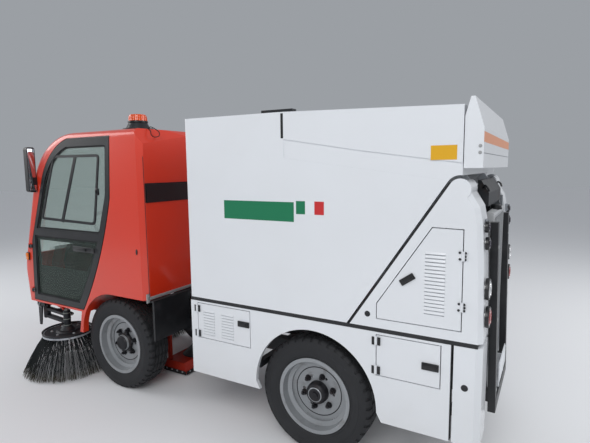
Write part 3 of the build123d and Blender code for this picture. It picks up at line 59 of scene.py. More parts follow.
# Shader maths written as expressions
class Sock:
    def __init__(self, tree, socket):
        self.tree = tree
        self.socket = socket

    def math(self, operation, other=None, swap=False):
        node = self.tree.nodes.new("ShaderNodeMath")
        node.operation = operation
        ends = [self, other]
        if swap:
            ends.reverse()
        for slot, end in enumerate(ends):
            if end is not None:
                feed(self.tree, node.inputs[slot], end)
        return Sock(self.tree, node.outputs[0])

    def __add__(self, other):
        return self.math("ADD", other)

    def __sub__(self, other):
        return self.math("SUBTRACT", other)

    def __mul__(self, other):
        return self.math("MULTIPLY", other)

    def __truediv__(self, other):
        return self.math("DIVIDE", other)

    def __rsub__(self, other):
        return self.math("SUBTRACT", other, swap=True)

    def __rtruediv__(self, other):
        return self.math("DIVIDE", other, swap=True)

    __radd__ = __add__
    __rmul__ = __mul__

    def clamp(self):
        return self.math("MAXIMUM", 0.0).math("MINIMUM", 1.0)


def addNode(tree, kind, settings=None, output=0, **inputs):
    # A node of one type: settings first, then its sockets by name, or by number as in i6
    node = tree.nodes.new("ShaderNode" + kind)
    for name, value in (settings or {}).items():
        if name == "stops":
            for stop, (place, colour) in zip(node.color_ramp.elements, value):
                stop.position = place
                stop.color = colour
        else:
            setattr(node, name, value)
    for name, value in inputs.items():
        numbered = name[0] == "i" and name[1:].isdigit()
        feed(tree, node.inputs[int(name[1:]) if numbered else name], value)
    return Sock(tree, node.outputs[output])


class Finish:
    def __init__(self, name, colour, rough, metal=0.0, **shader):
        self.material = bpy.data.materials.new(name)
        self.material.use_nodes = True
        self.tree = self.material.node_tree
        self.shader = self.tree.nodes["Principled BSDF"]
        self.set("Base Color", (*colour, 1.0))
        self.set("Roughness", rough)
        self.set("Metallic", metal)
        for socket, value in shader.items():
            self.set(socket.replace("_", " "), value)
        self.material.diffuse_color = (*colour, 1.0)

    def set(self, socket, value):
        feed(self.tree, self.shader.inputs[socket], value)

    def add(self, kind, settings=None, output=0, **inputs):
        return addNode(self.tree, kind, settings, output, **inputs)

    def place(self):
        return self.add("TexCoord", output=3)

    def noise(self, scale, detail=3.0):
        return self.add("TexNoise", Vector=self.place(), Scale=scale, Detail=detail)

    def mixed(self, mask, first, second):
        # Sockets 0, 6 and 7 are the factor and the two colours
        ends = [(*value, 1.0) if isinstance(value, tuple) else value for value in (first, second)]
        return self.add("Mix", {"data_type": "RGBA"}, 2, i0=mask, i6=ends[0], i7=ends[1])

    def weatherAndShade(self, mask, colour, dirt, rough, share):
        # Second colour where the mask is high, rougher there too: dirt, wear and rust, and painted shade in
        # sprayed paint
        self.set("Base Color", self.mixed(mask, colour, dirt))
        self.set("Roughness", (mask * share + rough).clamp())

    def bump(self, height, strength, distance):
        self.set("Normal", self.add("Bump", Height=height, Strength=strength, Distance=distance))


def shade(red, green, blue):
    # sRGB 0 to 255 to the linear values that the shaders take
    def line(value):
        value /= 255
        return value / 12.92 if value <= 0.04045 else ((value + 0.055) / 1.055) ** 2.4

    return tuple(line(value) for value in (red, green, blue))


def plain(*look, **shader):
    return Finish(*look, **shader).material


def sprayed(name, colour, shadeAndDustColour, rough=0.28, coat=0.6, groundShadeAmount=0.25, peel=0.04):
    # Sprayed sheet metal: orange peel in the gloss, a faint random dust all over, and painted shade that
    # darkens the paint towards the ground
    finish = Finish(name, colour, rough, Coat_Weight=coat, Coat_Roughness=0.12)
    height = finish.add("SeparateXYZ", output=2, Vector=finish.place())
    # Painted shade: below 0.9 m the paint is mixed towards the dull colour, more the nearer the ground
    low = (1.0 - height / 0.9).clamp()
    cloud = finish.noise(3.1, 5.0)
    shadeAndDustMask = (low * low * cloud * groundShadeAmount * 3.0 + cloud * cloud * 0.10).clamp()
    finish.weatherAndShade(shadeAndDustMask, colour, shadeAndDustColour, rough, 0.5)
    finish.bump(finish.noise(420.0, 2.0), peel, 0.0004)
    return finish.material


def moulded(name, colour, rough=0.5, grain=900.0, depth=0.12, pale=(0.09, 0.09, 0.095)):
    # Moulded plastic or rubber: fine grain and a little pale wear
    finish = Finish(name, colour, rough)
    wearAndSunlight = finish.noise(9.0, 6.0)
    mask = ((wearAndSunlight - 0.5) * 2.2).clamp() * 0.35
    finish.weatherAndShade(mask, colour, pale, rough, 0.4)
    finish.bump(finish.noise(grain, 2.0), depth, 0.0003)
    return finish.material


def rolled(name, colour, rough, rust=(0.10, 0.045, 0.02), amount=0.3):
    # Steel parts under the vehicle: satin paint with road dirt and a breath of rust
    finish = Finish(name, colour, rough, metal=0.35)
    patch = ((finish.noise(14.0, 8.0) - 0.56) * 6.0).clamp() * amount
    finish.weatherAndShade(patch, colour, rust, rough, 0.5)
    finish.bump(finish.noise(160.0, 4.0), 0.12, 0.0006)
    return finish.material


def strands(name, colour, sunlitTips):
    # Bristles with painted sunlight: the ends near the ground are mixed to a pale yellow
    finish = Finish(name, colour, 0.45)
    height = finish.add("SeparateXYZ", output=2, Vector=finish.place())
    # Painted sunlight on the lowest few centimetres of the bristles, in random patches
    wearAndSunlight = ((0.085 - height) / 0.09).clamp() * finish.noise(34.0, 3.0)
    finish.set("Base Color", finish.mixed(wearAndSunlight * 0.8, colour, sunlitTips))
    return finish.material


finishes = {
    # The second colour of each sprayed paint is painted shade towards the ground, with a faint random dust
    "orange_paint": sprayed("OrangePaint", shade(214, 50, 22), shade(172, 84, 58)),
    "white_paint": sprayed("WhitePaint", shade(224, 227, 231), shade(176, 172, 164)),
    "black_frame": moulded("BlackFrame", shade(27, 28, 31), 0.38, 700.0, 0.06),
    "chassis_grey": rolled("ChassisGrey", shade(38, 40, 44), 0.5),
    "light_grey": rolled("LightGrey", shade(196, 198, 200), 0.4, shade(150, 142, 132), 0.3),
    "silver_paint": rolled("SilverPaint", shade(150, 153, 156), 0.36, shade(96, 88, 80), 0.35),
    "red_paint": rolled("RedPaint", shade(176, 44, 26), 0.42, shade(84, 50, 36), 0.3),
    "steel": plain("Steel", shade(200, 203, 206), 0.16, metal=1.0),
    "rubber": moulded("TyreRubber", shade(32, 33, 36), 0.72, 260.0, 0.25, (0.055, 0.055, 0.06)),
    "pipe_rubber": moulded("PipeRubber", shade(26, 27, 29), 0.6),
    # The bristles' second colour is painted sunlight on their ends
    "bristle": strands("Bristle", shade(26, 32, 34), shade(128, 112, 74)),
    "glass": plain("Glass", shade(196, 216, 206), 0.03, Transmission_Weight=0.92, IOR=1.1, Alpha=0.42),
    "dark_glass": plain("DarkGlass", shade(18, 20, 23), 0.12, Coat_Weight=0.5),
    "amber": plain("Amber", shade(255, 96, 18), 0.12, Transmission_Weight=0.35, Coat_Weight=0.6),
    "lamp": plain("Lamp", shade(196, 198, 200), 0.18, metal=0.4, Coat_Weight=0.8),
    "seat_fabric": moulded("SeatFabric", shade(48, 50, 54), 0.85, 1400.0, 0.5),
}
for part in frame["record"]["subparts"]:
    for place in nodes[part["node"]].material_slots:
        place.material = finishes[part["material_slot"]]
print("finishes made:", len(finishes))


# Small mesh helpers
weldGap = 0.00001


def piece(name, bm, finish, body, smooth=40, joined=weldGap):
    if joined:
        bmesh.ops.remove_doubles(bm, verts=bm.verts, dist=joined)
    bmesh.ops.recalc_face_normals(bm, faces=bm.faces)
    mesh = bpy.data.meshes.new(name)
    bm.to_mesh(mesh)
    bm.free()
    mesh.shade_smooth()
    if smooth:
        mesh.set_sharp_from_angle(angle=math.radians(smooth))
    thing = bpy.data.objects.new(name, mesh)
    bpy.context.scene.collection.objects.link(thing)
    mesh.materials.append(finishes[finish])
    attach(thing, body)
    return thing


def moved(bm, verts, matrix):
    bmesh.ops.transform(bm, matrix=matrix, verts=verts)
    return verts


def block(bm, centre, size, turn=None, soft=0.0):
    made = bmesh.ops.create_cube(bm, size=1.0)["verts"]
    bmesh.ops.scale(bm, vec=size, verts=made)
    if soft:
        edges = list({edge for vert in made for edge in vert.link_edges})
        grown = bmesh.ops.bevel(
            bm,
            geom=edges,
            offset=soft,
            offset_type="OFFSET",
            segments=2,
            profile=0.5,
            affect="EDGES",
            material=-1,
        )
        kept = {vert for vert in made if vert.is_valid}
        made = list({vert for face in grown["faces"] for vert in face.verts} | kept)
    spot = Matrix.Translation(centre)
    return moved(bm, made, spot @ turn if turn else spot)


def rod(bm, start, end, radius, sides=16, endRadius=None):
    start, end = Vector(start), Vector(end)
    made = bmesh.ops.create_cone(
        bm,
        cap_ends=True,
        segments=sides,
        radius1=radius,
        radius2=radius if endRadius is None else endRadius,
        depth=(end - start).length,
    )["verts"]
    turn = (end - start).to_track_quat("Z", "Y").to_matrix().to_4x4()
    return moved(bm, made, Matrix.Translation((start + end) / 2) @ turn)


def turned(bm, profile, centre, axis, steps=48, closed=False):
    # Profile of (along the axis, radius) spun about the axis through the centre
    axis = Vector(axis)
    side = axis.orthogonal().normalized()
    centre = Vector(centre)
    verts = [bm.verts.new(centre + axis * along + side * radius) for along, radius in profile]
    edges = [bm.edges.new(pair) for pair in zip(verts, verts[1:])]
    if closed:
        edges.append(bm.edges.new((verts[-1], verts[0])))
    bmesh.ops.spin(
        bm,
        geom=verts + edges,
        cent=centre,
        axis=axis,
        angle=math.tau,
        steps=steps,
        use_merge=True,
        use_duplicate=False,
    )
    bmesh.ops.remove_doubles(bm, verts=bm.verts, dist=weldGap)


def collar(bm, centre, axis, ends, radii, steps):
    # Band round an axis, open towards what it sits on
    (low, high), (inner, outer) = ends, radii
    turned(bm, [(low, inner), (low, outer), (high, outer), (high, inner)], centre, axis, steps=steps)


def thicken(bm, faces, shift):
    grown = bmesh.ops.extrude_face_region(bm, geom=faces)["geom"]
    far = [item for item in grown if isinstance(item, bmesh.types.BMVert)]
    bmesh.ops.translate(bm, vec=shift, verts=far)


def ringFaces(bm, outer, inner):
    # Faces between two loops with the same number of points
    ring = []
    for index in range(len(outer)):
        after = (index + 1) % len(outer)
        ring.append(bm.faces.new((outer[index], outer[after], inner[after], inner[index])))
    return ring


def plate(bm, outline, sideX, thickness):
    # Flat outline of (y, z) points, stood at sideX and thickened along X
    face = bm.faces.new([bm.verts.new((sideX, y, z)) for y, z in outline])
    thicken(bm, [face], (thickness, 0, 0))


def bothSides(build):
    for side, sign in (("left", 1), ("right", -1)):
        build(side, sign)


# Wheels
wheel = {
    "x": 0.4975,
    "y": {"front": -0.770, "rear": 0.985},
    "z": 0.366,
    "radius": 0.366,
    "width": 0.205,
    "rim": 0.235,
    "rimWidth": 0.185,
    "discInset": 0.076,
    "studCircle": 0.205,
    "nuts": 6,
    "steps": 120,
}


def tyreProfile():
    half = wheel["width"] / 2
    bead = wheel["rimWidth"] / 2 - 0.0065
    outer = wheel["radius"]
    rim = wheel["rim"]
    wall = [
        (bead - 0.016, rim - 0.0115),
        (bead, rim - 0.0115),
        (bead, rim + 0.0045),
        (bead + 0.006, rim + 0.012),
        (bead + 0.009, rim + 0.020),
        (bead + 0.0075, rim + 0.022),
        (bead + 0.0125, rim + 0.036),
        (half - 0.001, rim + 0.056),
        (half, rim + 0.066),
        (half - 0.0012, rim + 0.068),
        (half - 0.0012, rim + 0.071),
        (half, rim + 0.073),
        (half - 0.003, rim + 0.092),
        (half - 0.008, rim + 0.106),
        (half - 0.0075, rim + 0.108),
        (half - 0.012, rim + 0.119),
        (half - 0.020, outer - 0.004),
        (half - 0.030, outer - 0.0012),
    ]
    groove = 0.009
    crown = []
    for middle in (0.050, 0.017):
        crown += [
            (middle + 0.004, outer - 0.0006),
            (middle + 0.003, outer - groove),
            (middle - 0.003, outer - groove),
            (middle - 0.004, outer - 0.0004),
        ]
    outside = wall + crown
    return outside + [(-along, radius) for along, radius in reversed(outside)]


def makeTyre(place, side, sign):
    bm = bmesh.new()
    centre = Vector((sign * wheel["x"], wheel["y"][place], wheel["z"]))
    steps = wheel["steps"]
    turned(bm, tyreProfile(), centre, (1, 0, 0), steps=steps, closed=True)
    sipes = []
    for face in bm.faces:
        spot = face.calc_center_median() - centre
        radius = math.hypot(spot.y, spot.z)
        share = math.degrees(math.atan2(spot.z, spot.y)) / 360 * steps
        shoulder = abs(spot.x) > 0.055 and wheel["radius"] - 0.018 < radius
        if shoulder and round(share - 0.5) % 3 == 0:
            sipes.append(face)
        elif radius > wheel["radius"] - 0.003 and abs(spot.x) < 0.045 and round(share - 0.5) % 4 == 1:
            sipes.append(face)
    bmesh.ops.inset_individual(bm, faces=sipes, thickness=0.0016, depth=-0.005)
    tyre = piece(f"tyre_{place}_{side}_tread", bm, "rubber", f"{place}_wheel_{side}", 32)
    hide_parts(f"tyre_{place}_{side}")


def makeHub(place, side, sign):
    bm = bmesh.new()
    face = sign * (wheel["x"] + wheel["rimWidth"] / 2 - wheel["discInset"])
    centre = Vector((face, wheel["y"][place], wheel["z"]))
    dome = [(0.0, 0.0695), (0.030, 0.0690), (0.044, 0.064), (0.054, 0.052), (0.0595, 0.036), (0.0600, 0.022)]
    dome += [(0.068, 0.021), (0.070, 0.016), (0.0705, 0.0)]
    if place == "front":
        dome = [(0.0, 0.074), (0.022, 0.073), (0.034, 0.062), (0.052, 0.056), (0.060, 0.046), (0.062, 0.0)]
    turned(bm, [(sign * along, radius) for along, radius in dome], centre, (1, 0, 0), steps=40)
    for nut in range(wheel["nuts"]):
        angle = math.radians(15 + 360 / wheel["nuts"] * nut)
        out = Vector((0, math.cos(angle), math.sin(angle)))
        spot = centre + out * wheel["studCircle"] / 2
        along = Vector((sign, 0, 0))
        rod(bm, spot, spot + along * 0.004, 0.020, 20)
        rod(bm, spot, spot + along * 0.022, 0.0155, 6)
        rod(bm, spot + along * 0.020, spot + along * 0.034, 0.0085, 12)
        if place == "front":
            lobe = Matrix.Rotation(angle, 4, "X")
            block(bm, centre + out * 0.068 + along * 0.014, (0.026, 0.040, 0.034), lobe, 0.005)
    piece(f"hub_{place}_{side}", bm, "hub_black", f"{place}_wheel_{side}", 38)
    ring = bmesh.new()
    weld = [(0.0004, 0.152), (0.0022, 0.1535), (0.0022, 0.1565), (0.0004, 0.158)]
    turned(ring, [(sign * along, radius) for along, radius in weld], centre, (1, 0, 0), steps=64)
    piece(f"disc_weld_{place}_{side}", ring, "hub_black", f"{place}_wheel_{side}", 38)


finishes["hub_black"] = rolled("HubBlack", shade(34, 34, 38), 0.45, shade(70, 52, 44), 0.4)
for wheelPlace in ("front", "rear"):
    for wheelSide, wheelSign in (("left", 1), ("right", -1)):
        makeTyre(wheelPlace, wheelSide, wheelSign)
        makeHub(wheelPlace, wheelSide, wheelSign)
print("wheels made")


# Brushes: tufts of single bristles round the disc
brush = {
    "x": 0.530,
    "y": -1.525,
    "top": 0.330,
    "tufts": 40,
    "bristles": 26,
    "innerRadius": 0.172,
    "outerRadius": 0.366,
    "bottom": 0.008,
    "bow": 0.030,
}


def makeBristles(side, sign):
    dice = random.Random(11 if sign > 0 else 23)
    bm = bmesh.new()
    for tuft in range(brush["tufts"]):
        for _ in range(brush["bristles"]):
            spread = dice.gauss(0.0, 0.30) * math.tau / brush["tufts"]
            angle = math.tau * tuft / brush["tufts"] + spread * 0.4
            fan = angle + spread * 1.1
            start = brush["innerRadius"] + dice.uniform(-0.016, 0.016)
            reach = brush["outerRadius"] + dice.uniform(-0.055, 0.010)
            low = brush["bottom"] + dice.uniform(0.0, 0.012)
            thick = dice.uniform(0.0009, 0.0015)
            points = []
            for step in range(4):
                share = step / 3
                radius = start + (reach - start) * share + brush["bow"] * math.sin(share * math.pi) * 0.5
                turn = angle + (fan - angle) * share
                height = brush["top"] + (low - brush["top"]) * share
                out = Vector((math.cos(turn), math.sin(turn), 0)) * radius
                points.append(Vector((sign * brush["x"], brush["y"], height)) + out)
            rings = []
            for point in points:
                ring = []
                for corner in (0.0, 2.1, 4.2):
                    ring.append(bm.verts.new(point + Vector((math.cos(corner), math.sin(corner), 0)) * thick))
                rings.append(ring)
            for upper, lower in zip(rings, rings[1:]):
                for corner in range(3):
                    after = (corner + 1) % 3
                    bm.faces.new((upper[corner], upper[after], lower[after], lower[corner]))
            bm.faces.new(rings[0])
            bm.faces.new(rings[-1])
    tufts = piece(f"bristle_strands_{side}", bm, "bristle", f"brush_{side}", 0, 0)
    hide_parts(f"bristles_{side}")


bothSides(makeBristles)
print("brushes made")


# More mesh helpers
def rounded(outline, radius, steps=5):
    # Outline with its corners rounded off
    points = []
    for index, corner in enumerate(outline):
        corner = Vector(corner)
        before = Vector(outline[index - 1]) - corner
        after = Vector(outline[(index + 1) % len(outline)]) - corner
        start = corner + before.normalized() * min(radius, before.length * 0.45)
        end = corner + after.normalized() * min(radius, after.length * 0.45)
        for step in range(steps + 1):
            share = step / steps
            points.append(tuple(start.lerp(corner, share).lerp(corner.lerp(end, share), share)))
    return points


def inward(outline, width):
    # Outline moved in by a width, with mitred corners
    turning = sum(a[0] * b[1] - b[0] * a[1] for a, b in zip(outline, outline[1:] + outline[:1]))
    side = 1 if turning > 0 else -1
    inner = []
    for index, corner in enumerate(outline):
        corner = Vector(corner)
        before = (corner - Vector(outline[index - 1])).normalized()
        after = (Vector(outline[(index + 1) % len(outline)]) - corner).normalized()
        first = Vector((-before.y, before.x)) * side
        second = Vector((-after.y, after.x)) * side
        middle = (first + second).normalized()
        inner.append(corner + middle * width / max(middle.dot(first), 0.35))
    return inner


def ringPlate(bm, outline, sideX, width, thickness):
    # Frame of one width inside an outline of (y, z) points
    outer = [bm.verts.new((sideX, y, z)) for y, z in outline]
    inner = [bm.verts.new((sideX, y, z)) for y, z in inward(outline, width)]
    thicken(bm, ringFaces(bm, outer, inner), (thickness, 0, 0))


def flowing(points, steps=6):
    # Smooth curve through the points
    points = [Vector(point) for point in points]
    ends = [points[0] * 2 - points[1], *points, points[-1] * 2 - points[-2]]
    path = []
    for first, second, third, fourth in zip(ends, ends[1:], ends[2:], ends[3:]):
        for step in range(steps):
            t = step / steps
            spot = second * 2 + (third - first) * t
            spot += (first * 2 - second * 5 + third * 4 - fourth) * t * t
            spot += (second * 3 - first - third * 3 + fourth) * t**3
            path.append(spot * 0.5)
    path.append(points[-1])
    return path


def tube(bm, points, radius, sides=10):
    # Round bar along a path
    points = [Vector(point) for point in points]
    loops = []
    for index, point in enumerate(points):
        ahead = points[min(index + 1, len(points) - 1)] - points[max(index - 1, 0)]
        turn = ahead.to_track_quat("Z", "Y").to_matrix().to_4x4()
        atEnd = index in (0, len(points) - 1)
        made = bmesh.ops.create_circle(bm, cap_ends=atEnd, segments=sides, radius=radius)["verts"]
        moved(bm, made, Matrix.Translation(point) @ turn)
        members = set(made)
        loops.append(
            list({edge for vert in made for edge in vert.link_edges if edge.other_vert(vert) in members})
        )
    for first, second in zip(loops, loops[1:]):
        bmesh.ops.bridge_loops(bm, edges=first + second)


def bolts(bm, spots, axis, radius, height):
    # Hex heads on washers, standing out along the axis
    axis = Vector(axis)
    for spot in spots:
        spot = Vector(spot)
        rod(bm, spot, spot + axis * height * 0.3, radius * 1.35, 16)
        rod(bm, spot, spot + axis * height, radius, 6, radius * 0.93)


def strip(bm, start, end, width, sideX, thickness):
    # Straight bar between two (y, z) points, thickened from sideX
    start, end = Vector(start), Vector(end)
    across = (end - start).orthogonal().normalized() * width / 2
    plate(bm, [start - across, end - across, end + across, start + across], sideX, thickness)


def skin(node, start, aim):
    # Where a straight line first meets a CAD piece
    met, spot, _, _ = nodes[node].ray_cast(Vector(start), Vector(aim).normalized())
    if not met:
        print("no skin met on", node, start)
    return spot if met else Vector(start)


def middle(node):
    corners = [Vector(corner) for corner in nodes[node].bound_box]
    return sum(corners, Vector()) / len(corners)


finishes.update(
    {
        "trim_black": moulded("TrimBlack", shade(22, 23, 26), 0.32, 900.0, 0.05),
        "seal_rubber": moulded("SealRubber", shade(16, 17, 19), 0.7),
        "tint_film": plain("TintFilm", shade(20, 23, 24), 0.6, Specular_IOR_Level=0.15),
        "zinc": rolled("Zinc", shade(168, 170, 172), 0.34, shade(120, 104, 88), 0.25),
        "grey_steel": rolled("GreySteel", shade(128, 132, 138), 0.4, shade(104, 84, 70), 0.3),
        "mirror_glass": plain("MirrorGlass", shade(206, 212, 220), 0.04, metal=1.0),
        "lens_red": plain("LensRed", shade(150, 22, 20), 0.12, Coat_Weight=0.9),
        "lens_clear": plain("LensClear", shade(206, 206, 208), 0.1, metal=0.5, Coat_Weight=0.9),
        "lens_amber": plain("LensAmber", shade(230, 120, 24), 0.12, Coat_Weight=0.9),
        "lens_dark": plain("LensDark", shade(58, 52, 66), 0.1, Coat_Weight=0.9),
        "brass_strip": rolled("BrassStrip", shade(176, 128, 44), 0.4),
    }
)
bands = {
    "Green": (18, 116, 78),
    "White": (224, 227, 231),
    "Red": (196, 44, 46),
    "Yellow": (220, 166, 24),
    "Orange": (214, 140, 98),
}
for name, colour in bands.items():
    finishes["band_" + name.lower()] = plain("Band" + name, shade(*colour), 0.35)

# Cab doors: seals, sliding frame, tinted lower pane, handle
door = {
    "glass": 0.627,
    "upper": [
        (-0.738, 1.945),
        (-0.770, 1.560),
        (-0.868, 1.262),
        (-1.700, 1.262),
        (-1.548, 1.650),
        (-1.487, 1.752),
        (-1.412, 1.838),
        (-1.322, 1.905),
        (-1.215, 1.945),
    ],
    "lower": [(-0.893, 1.198), (-1.000, 0.950), (-1.172, 0.664), (-1.758, 0.664), (-1.735, 1.198)],
    "clear": [(-0.956, 1.159), (-1.030, 0.995), (-1.075, 0.933), (-1.690, 0.933), (-1.696, 1.159)],
    "slider": [(-0.820, 1.879), (-0.915, 1.325), (-1.630, 1.342), (-1.403, 1.882)],
    "divider": [(-1.110, 1.872), (-1.337, 1.332)],
    "latch": (-0.861, 1.590),
    "grip": [(-1.215, 1.118), (-0.900, 1.118)],
}


def makeDoor(side, sign):
    body = f"cab_door_body_{side}"
    seal = bmesh.new()
    ringPlate(seal, rounded(door["upper"], 0.03), sign * door["glass"], 0.013, sign * 0.004)
    ringPlate(seal, rounded(door["lower"], 0.03), sign * door["glass"], 0.013, sign * 0.004)
    piece(f"door_seals_{side}", seal, "seal_rubber", body)
    frameMesh = bmesh.new()
    ringPlate(
        frameMesh, rounded(door["slider"], 0.045, 7), sign * (door["glass"] - 0.0005), 0.021, sign * 0.0075
    )
    strip(frameMesh, *door["divider"], 0.030, sign * (door["glass"] - 0.0005), sign * 0.0065)
    y, z = door["latch"]
    block(frameMesh, (sign * 0.637, y, z), (0.014, 0.034, 0.052), soft=0.004)
    block(frameMesh, (sign * 0.646, y - 0.006, z), (0.008, 0.012, 0.030), soft=0.003)
    (startY, gripZ), (endY, _) = door["grip"]
    block(frameMesh, (sign * 0.6325, (startY + endY) / 2, gripZ), (0.013, endY - startY, 0.044), soft=0.005)
    block(frameMesh, (sign * 0.644, startY + 0.11, gripZ), (0.012, 0.130, 0.024), soft=0.005)
    block(frameMesh, (sign * 0.641, endY - 0.050, gripZ), (0.010, 0.034, 0.034), soft=0.004)
    piece(f"door_frame_{side}", frameMesh, "trim_black", body)
    tint = bmesh.new()
    inside = sign * (door["glass"] - 0.0085)
    outer = [tint.verts.new((inside, y, z)) for y, z in door["lower"]]
    inner = [tint.verts.new((inside, y, z)) for y, z in door["clear"]]
    thicken(tint, ringFaces(tint, outer, inner), (-sign * 0.002, 0, 0))
    piece(f"door_tint_{side}", tint, "tint_film", body)
    pull = bmesh.new()
    path = [(sign * x, y, 1.225) for x, y in ((0.600, -1.66), (0.572, -1.62), (0.572, -1.16), (0.600, -1.12))]
    tube(pull, flowing(path, 5), 0.009)
    piece(f"door_pull_{side}", pull, "trim_black", body)
    clips = bmesh.new()
    for z in (0.682, 1.080):
        bolts(clips, [(sign * 0.642, -1.804, z + up) for up in (0.007, 0.023)], (sign, 0, 0), 0.0035, 0.004)
    piece(f"door_hinge_bolts_{side}", clips, "zinc", body)


bothSides(makeDoor)

# Lockers and engine doors: black hinge leaves, handles, hinge bolts, plugs
locker = {
    "front": {"hinge": 0.1255, "zs": (0.8125, 0.6385), "handle": (0.5095, 0.759), "size": (0.089, 0.038)},
    "rear": {"hinge": 1.4015, "zs": (0.8155, 0.6505), "handle": (1.6930, 0.7275), "size": (0.088, 0.039)},
}
engineDoor = {
    "handle": (1.566, 1.176),
    "size": (0.084, 0.034),
    "tilt": 35.0,
    "doorBolts": [(1.822, 1.338), (1.823, 1.306), (1.825, 1.082), (1.824, 1.050)],
    "bodyBolts": [
        (1.849, 1.338), (1.848, 1.321), (1.848, 1.305), (1.850, 1.082), (1.851, 1.066), (1.850, 1.050)
    ],
}
bodyFace = 0.640


def makeHandle(bm, sign, spot, size, tilt):
    y, z = spot
    long, high = size
    turn = Matrix.Rotation(math.radians(tilt), 4, "X")
    block(bm, (sign * (bodyFace + 0.0035), y, z), (0.009, long, high), turn, 0.003)
    lever = turn @ Vector((0, -long * 0.08, 0))
    block(
        bm,
        (sign * (bodyFace + 0.0095), y + lever.y, z + lever.z),
        (0.005, long * 0.66, high * 0.60),
        turn,
        0.002,
    )
    key = turn @ Vector((0, long * 0.36, 0))
    start = Vector((sign * (bodyFace + 0.006), y + key.y, z + key.z))
    rod(bm, start, start + Vector((sign * 0.007, 0, 0)), high * 0.17, 16)


def makeLockers(side, sign):
    for place, data in locker.items():
        onBody = bmesh.new()
        onDoor = bmesh.new()
        leafX = sign * (bodyFace + 0.0062)
        for z in data["zs"]:
            block(onBody, (leafX, data["hinge"] - 0.0150, z), (0.0030, 0.0180, 0.0450), soft=0.001)
            block(onDoor, (leafX, data["hinge"] + 0.0150, z), (0.0030, 0.0200, 0.0450), soft=0.001)
            for bm, offset in ((onBody, -0.0165), (onDoor, 0.0165)):
                boltX, boltY = sign * (bodyFace + 0.0077), data["hinge"] + offset
                spots = [(boltX, boltY, z + lift) for lift in (-0.014, 0.014)]
                bolts(bm, spots, (sign, 0, 0), 0.0032, 0.0026)
        makeHandle(onDoor, sign, data["handle"], data["size"], 0.0)
        piece(f"{place}_locker_hinges_{side}", onBody, "trim_black", "chassis")
        piece(
            f"{place}_locker_handle_{side}",
            onDoor,
            "trim_black",
            f"{place}_locker_body_{side}",
        )
    latch = bmesh.new()
    makeHandle(latch, sign, engineDoor["handle"], engineDoor["size"], engineDoor["tilt"])
    piece(f"engine_door_handle_{side}", latch, "trim_black", f"engine_door_body_{side}")
    boltFace = sign * (bodyFace + 0.005)
    onDoor = bmesh.new()
    bolts(onDoor, [(boltFace, y, z) for y, z in engineDoor["doorBolts"]], (sign, 0, 0), 0.0046, 0.0042)
    piece(f"engine_door_bolts_{side}", onDoor, "trim_black", f"engine_door_body_{side}")
    onBody = bmesh.new()
    bolts(onBody, [(boltFace, y, z) for y, z in engineDoor["bodyBolts"]], (sign, 0, 0), 0.0046, 0.0042)
    for y, z, radius in ((1.863, 0.653, 0.018), (1.349, 0.959, 0.017)):
        start = Vector((sign * (bodyFace - 0.001), y, z))
        rod(onBody, start, start + Vector((sign * 0.004, 0, 0)), radius, 28, radius * 0.86)
    piece(f"engine_hinge_bolts_{side}", onBody, "trim_black", "chassis")
    # Rubber seal that fills the slanted gap, a running gap short of the hopper
    slant = Vector((0.5547, 0.8321))
    normal = Vector((-0.8321, 0.5547))
    pivot = Vector((1.812, 1.645))
    top = pivot + normal * 0.0570 - slant * 0.002
    foot = top - slant * ((top.y - 0.8905) / slant.y)
    lip = bmesh.new()
    strip(lip, foot, top, 0.0092, sign * 0.604, sign * 0.031)
    piece(f"slant_seal_{side}", lip, "seal_rubber", "chassis")
    split = bmesh.new()
    strip(split, (1.793, 0.352), (1.793, 0.862), 0.010, sign * 0.606, sign * 0.026)
    piece(f"corner_seal_{side}", split, "seal_rubber", "chassis")


bothSides(makeLockers)

# Plain patches of colour where the real vehicle is lettered, and the hood's stripe
patches = {
    "green": {"y": (0.379, 0.892), "z": (1.442, 1.558), "finish": "band_green", "x": 0.640},
    "flag_green": {"y": (0.907, 0.967), "z": (1.490, 1.566), "finish": "band_green", "x": 0.640},
    "flag_white": {"y": (0.967, 1.027), "z": (1.490, 1.566), "finish": "band_white", "x": 0.640},
    "flag_red": {"y": (1.027, 1.087), "z": (1.490, 1.566), "finish": "band_red", "x": 0.640},
    "yellow": {"y": (1.671, 1.795), "z": (1.787, 1.857), "finish": "band_yellow", "x": 0.643},
}
patchFilm = 0.0006


def makePatches(side, sign):
    for name, data in patches.items():
        bm = bmesh.new()
        (startY, endY), (lowZ, highZ) = data["y"], data["z"]
        outline = [(startY, lowZ), (endY, lowZ), (endY, highZ), (startY, highZ)]
        plate(bm, outline, sign * data["x"], sign * patchFilm)
        piece(f"patch_{name}_{side}", bm, data["finish"], "hopper")
    screws = bmesh.new()
    bolts(screws, [(sign * bodyFace, 1.897, z) for z in (1.849, 1.818)], (sign, 0, 0), 0.006, 0.005)
    piece(f"hood_bolts_{side}", screws, "zinc", "rear_cap")
    # Black strip in the notch, before the edge of the upper rear panel: painted shade for the dark gap
    notchShadeStrip = bmesh.new()
    strip(notchShadeStrip, (0.8185, 1.928), (0.8185, 2.070), 0.017, sign * 0.6395, sign * 0.0020)
    piece(f"notch_shade_strip_{side}", notchShadeStrip, "seal_rubber", "hopper")


bothSides(makePatches)
stripe = bmesh.new()
block(stripe, (0, 1.9123, 1.8915), (1.272, 0.0006, 0.049))
piece("hood_stripe", stripe, "band_orange", "rear_cap")
rivets = bmesh.new()
for index in range(48):
    block(rivets, (-0.611 + 0.026 * index, 1.9130, 1.816), (0.013, 0.002, 0.0035), soft=0.0008)
piece("hood_rivets", rivets, "grey_steel", "rear_cap")
lipMesh = bmesh.new()
block(lipMesh, (0, 1.9045, 1.7505), (1.20, 0.004, 0.008), soft=0.001)
piece("hood_lip", lipMesh, "seal_rubber", "rear_cap")
print("doors, lockers and patches made")


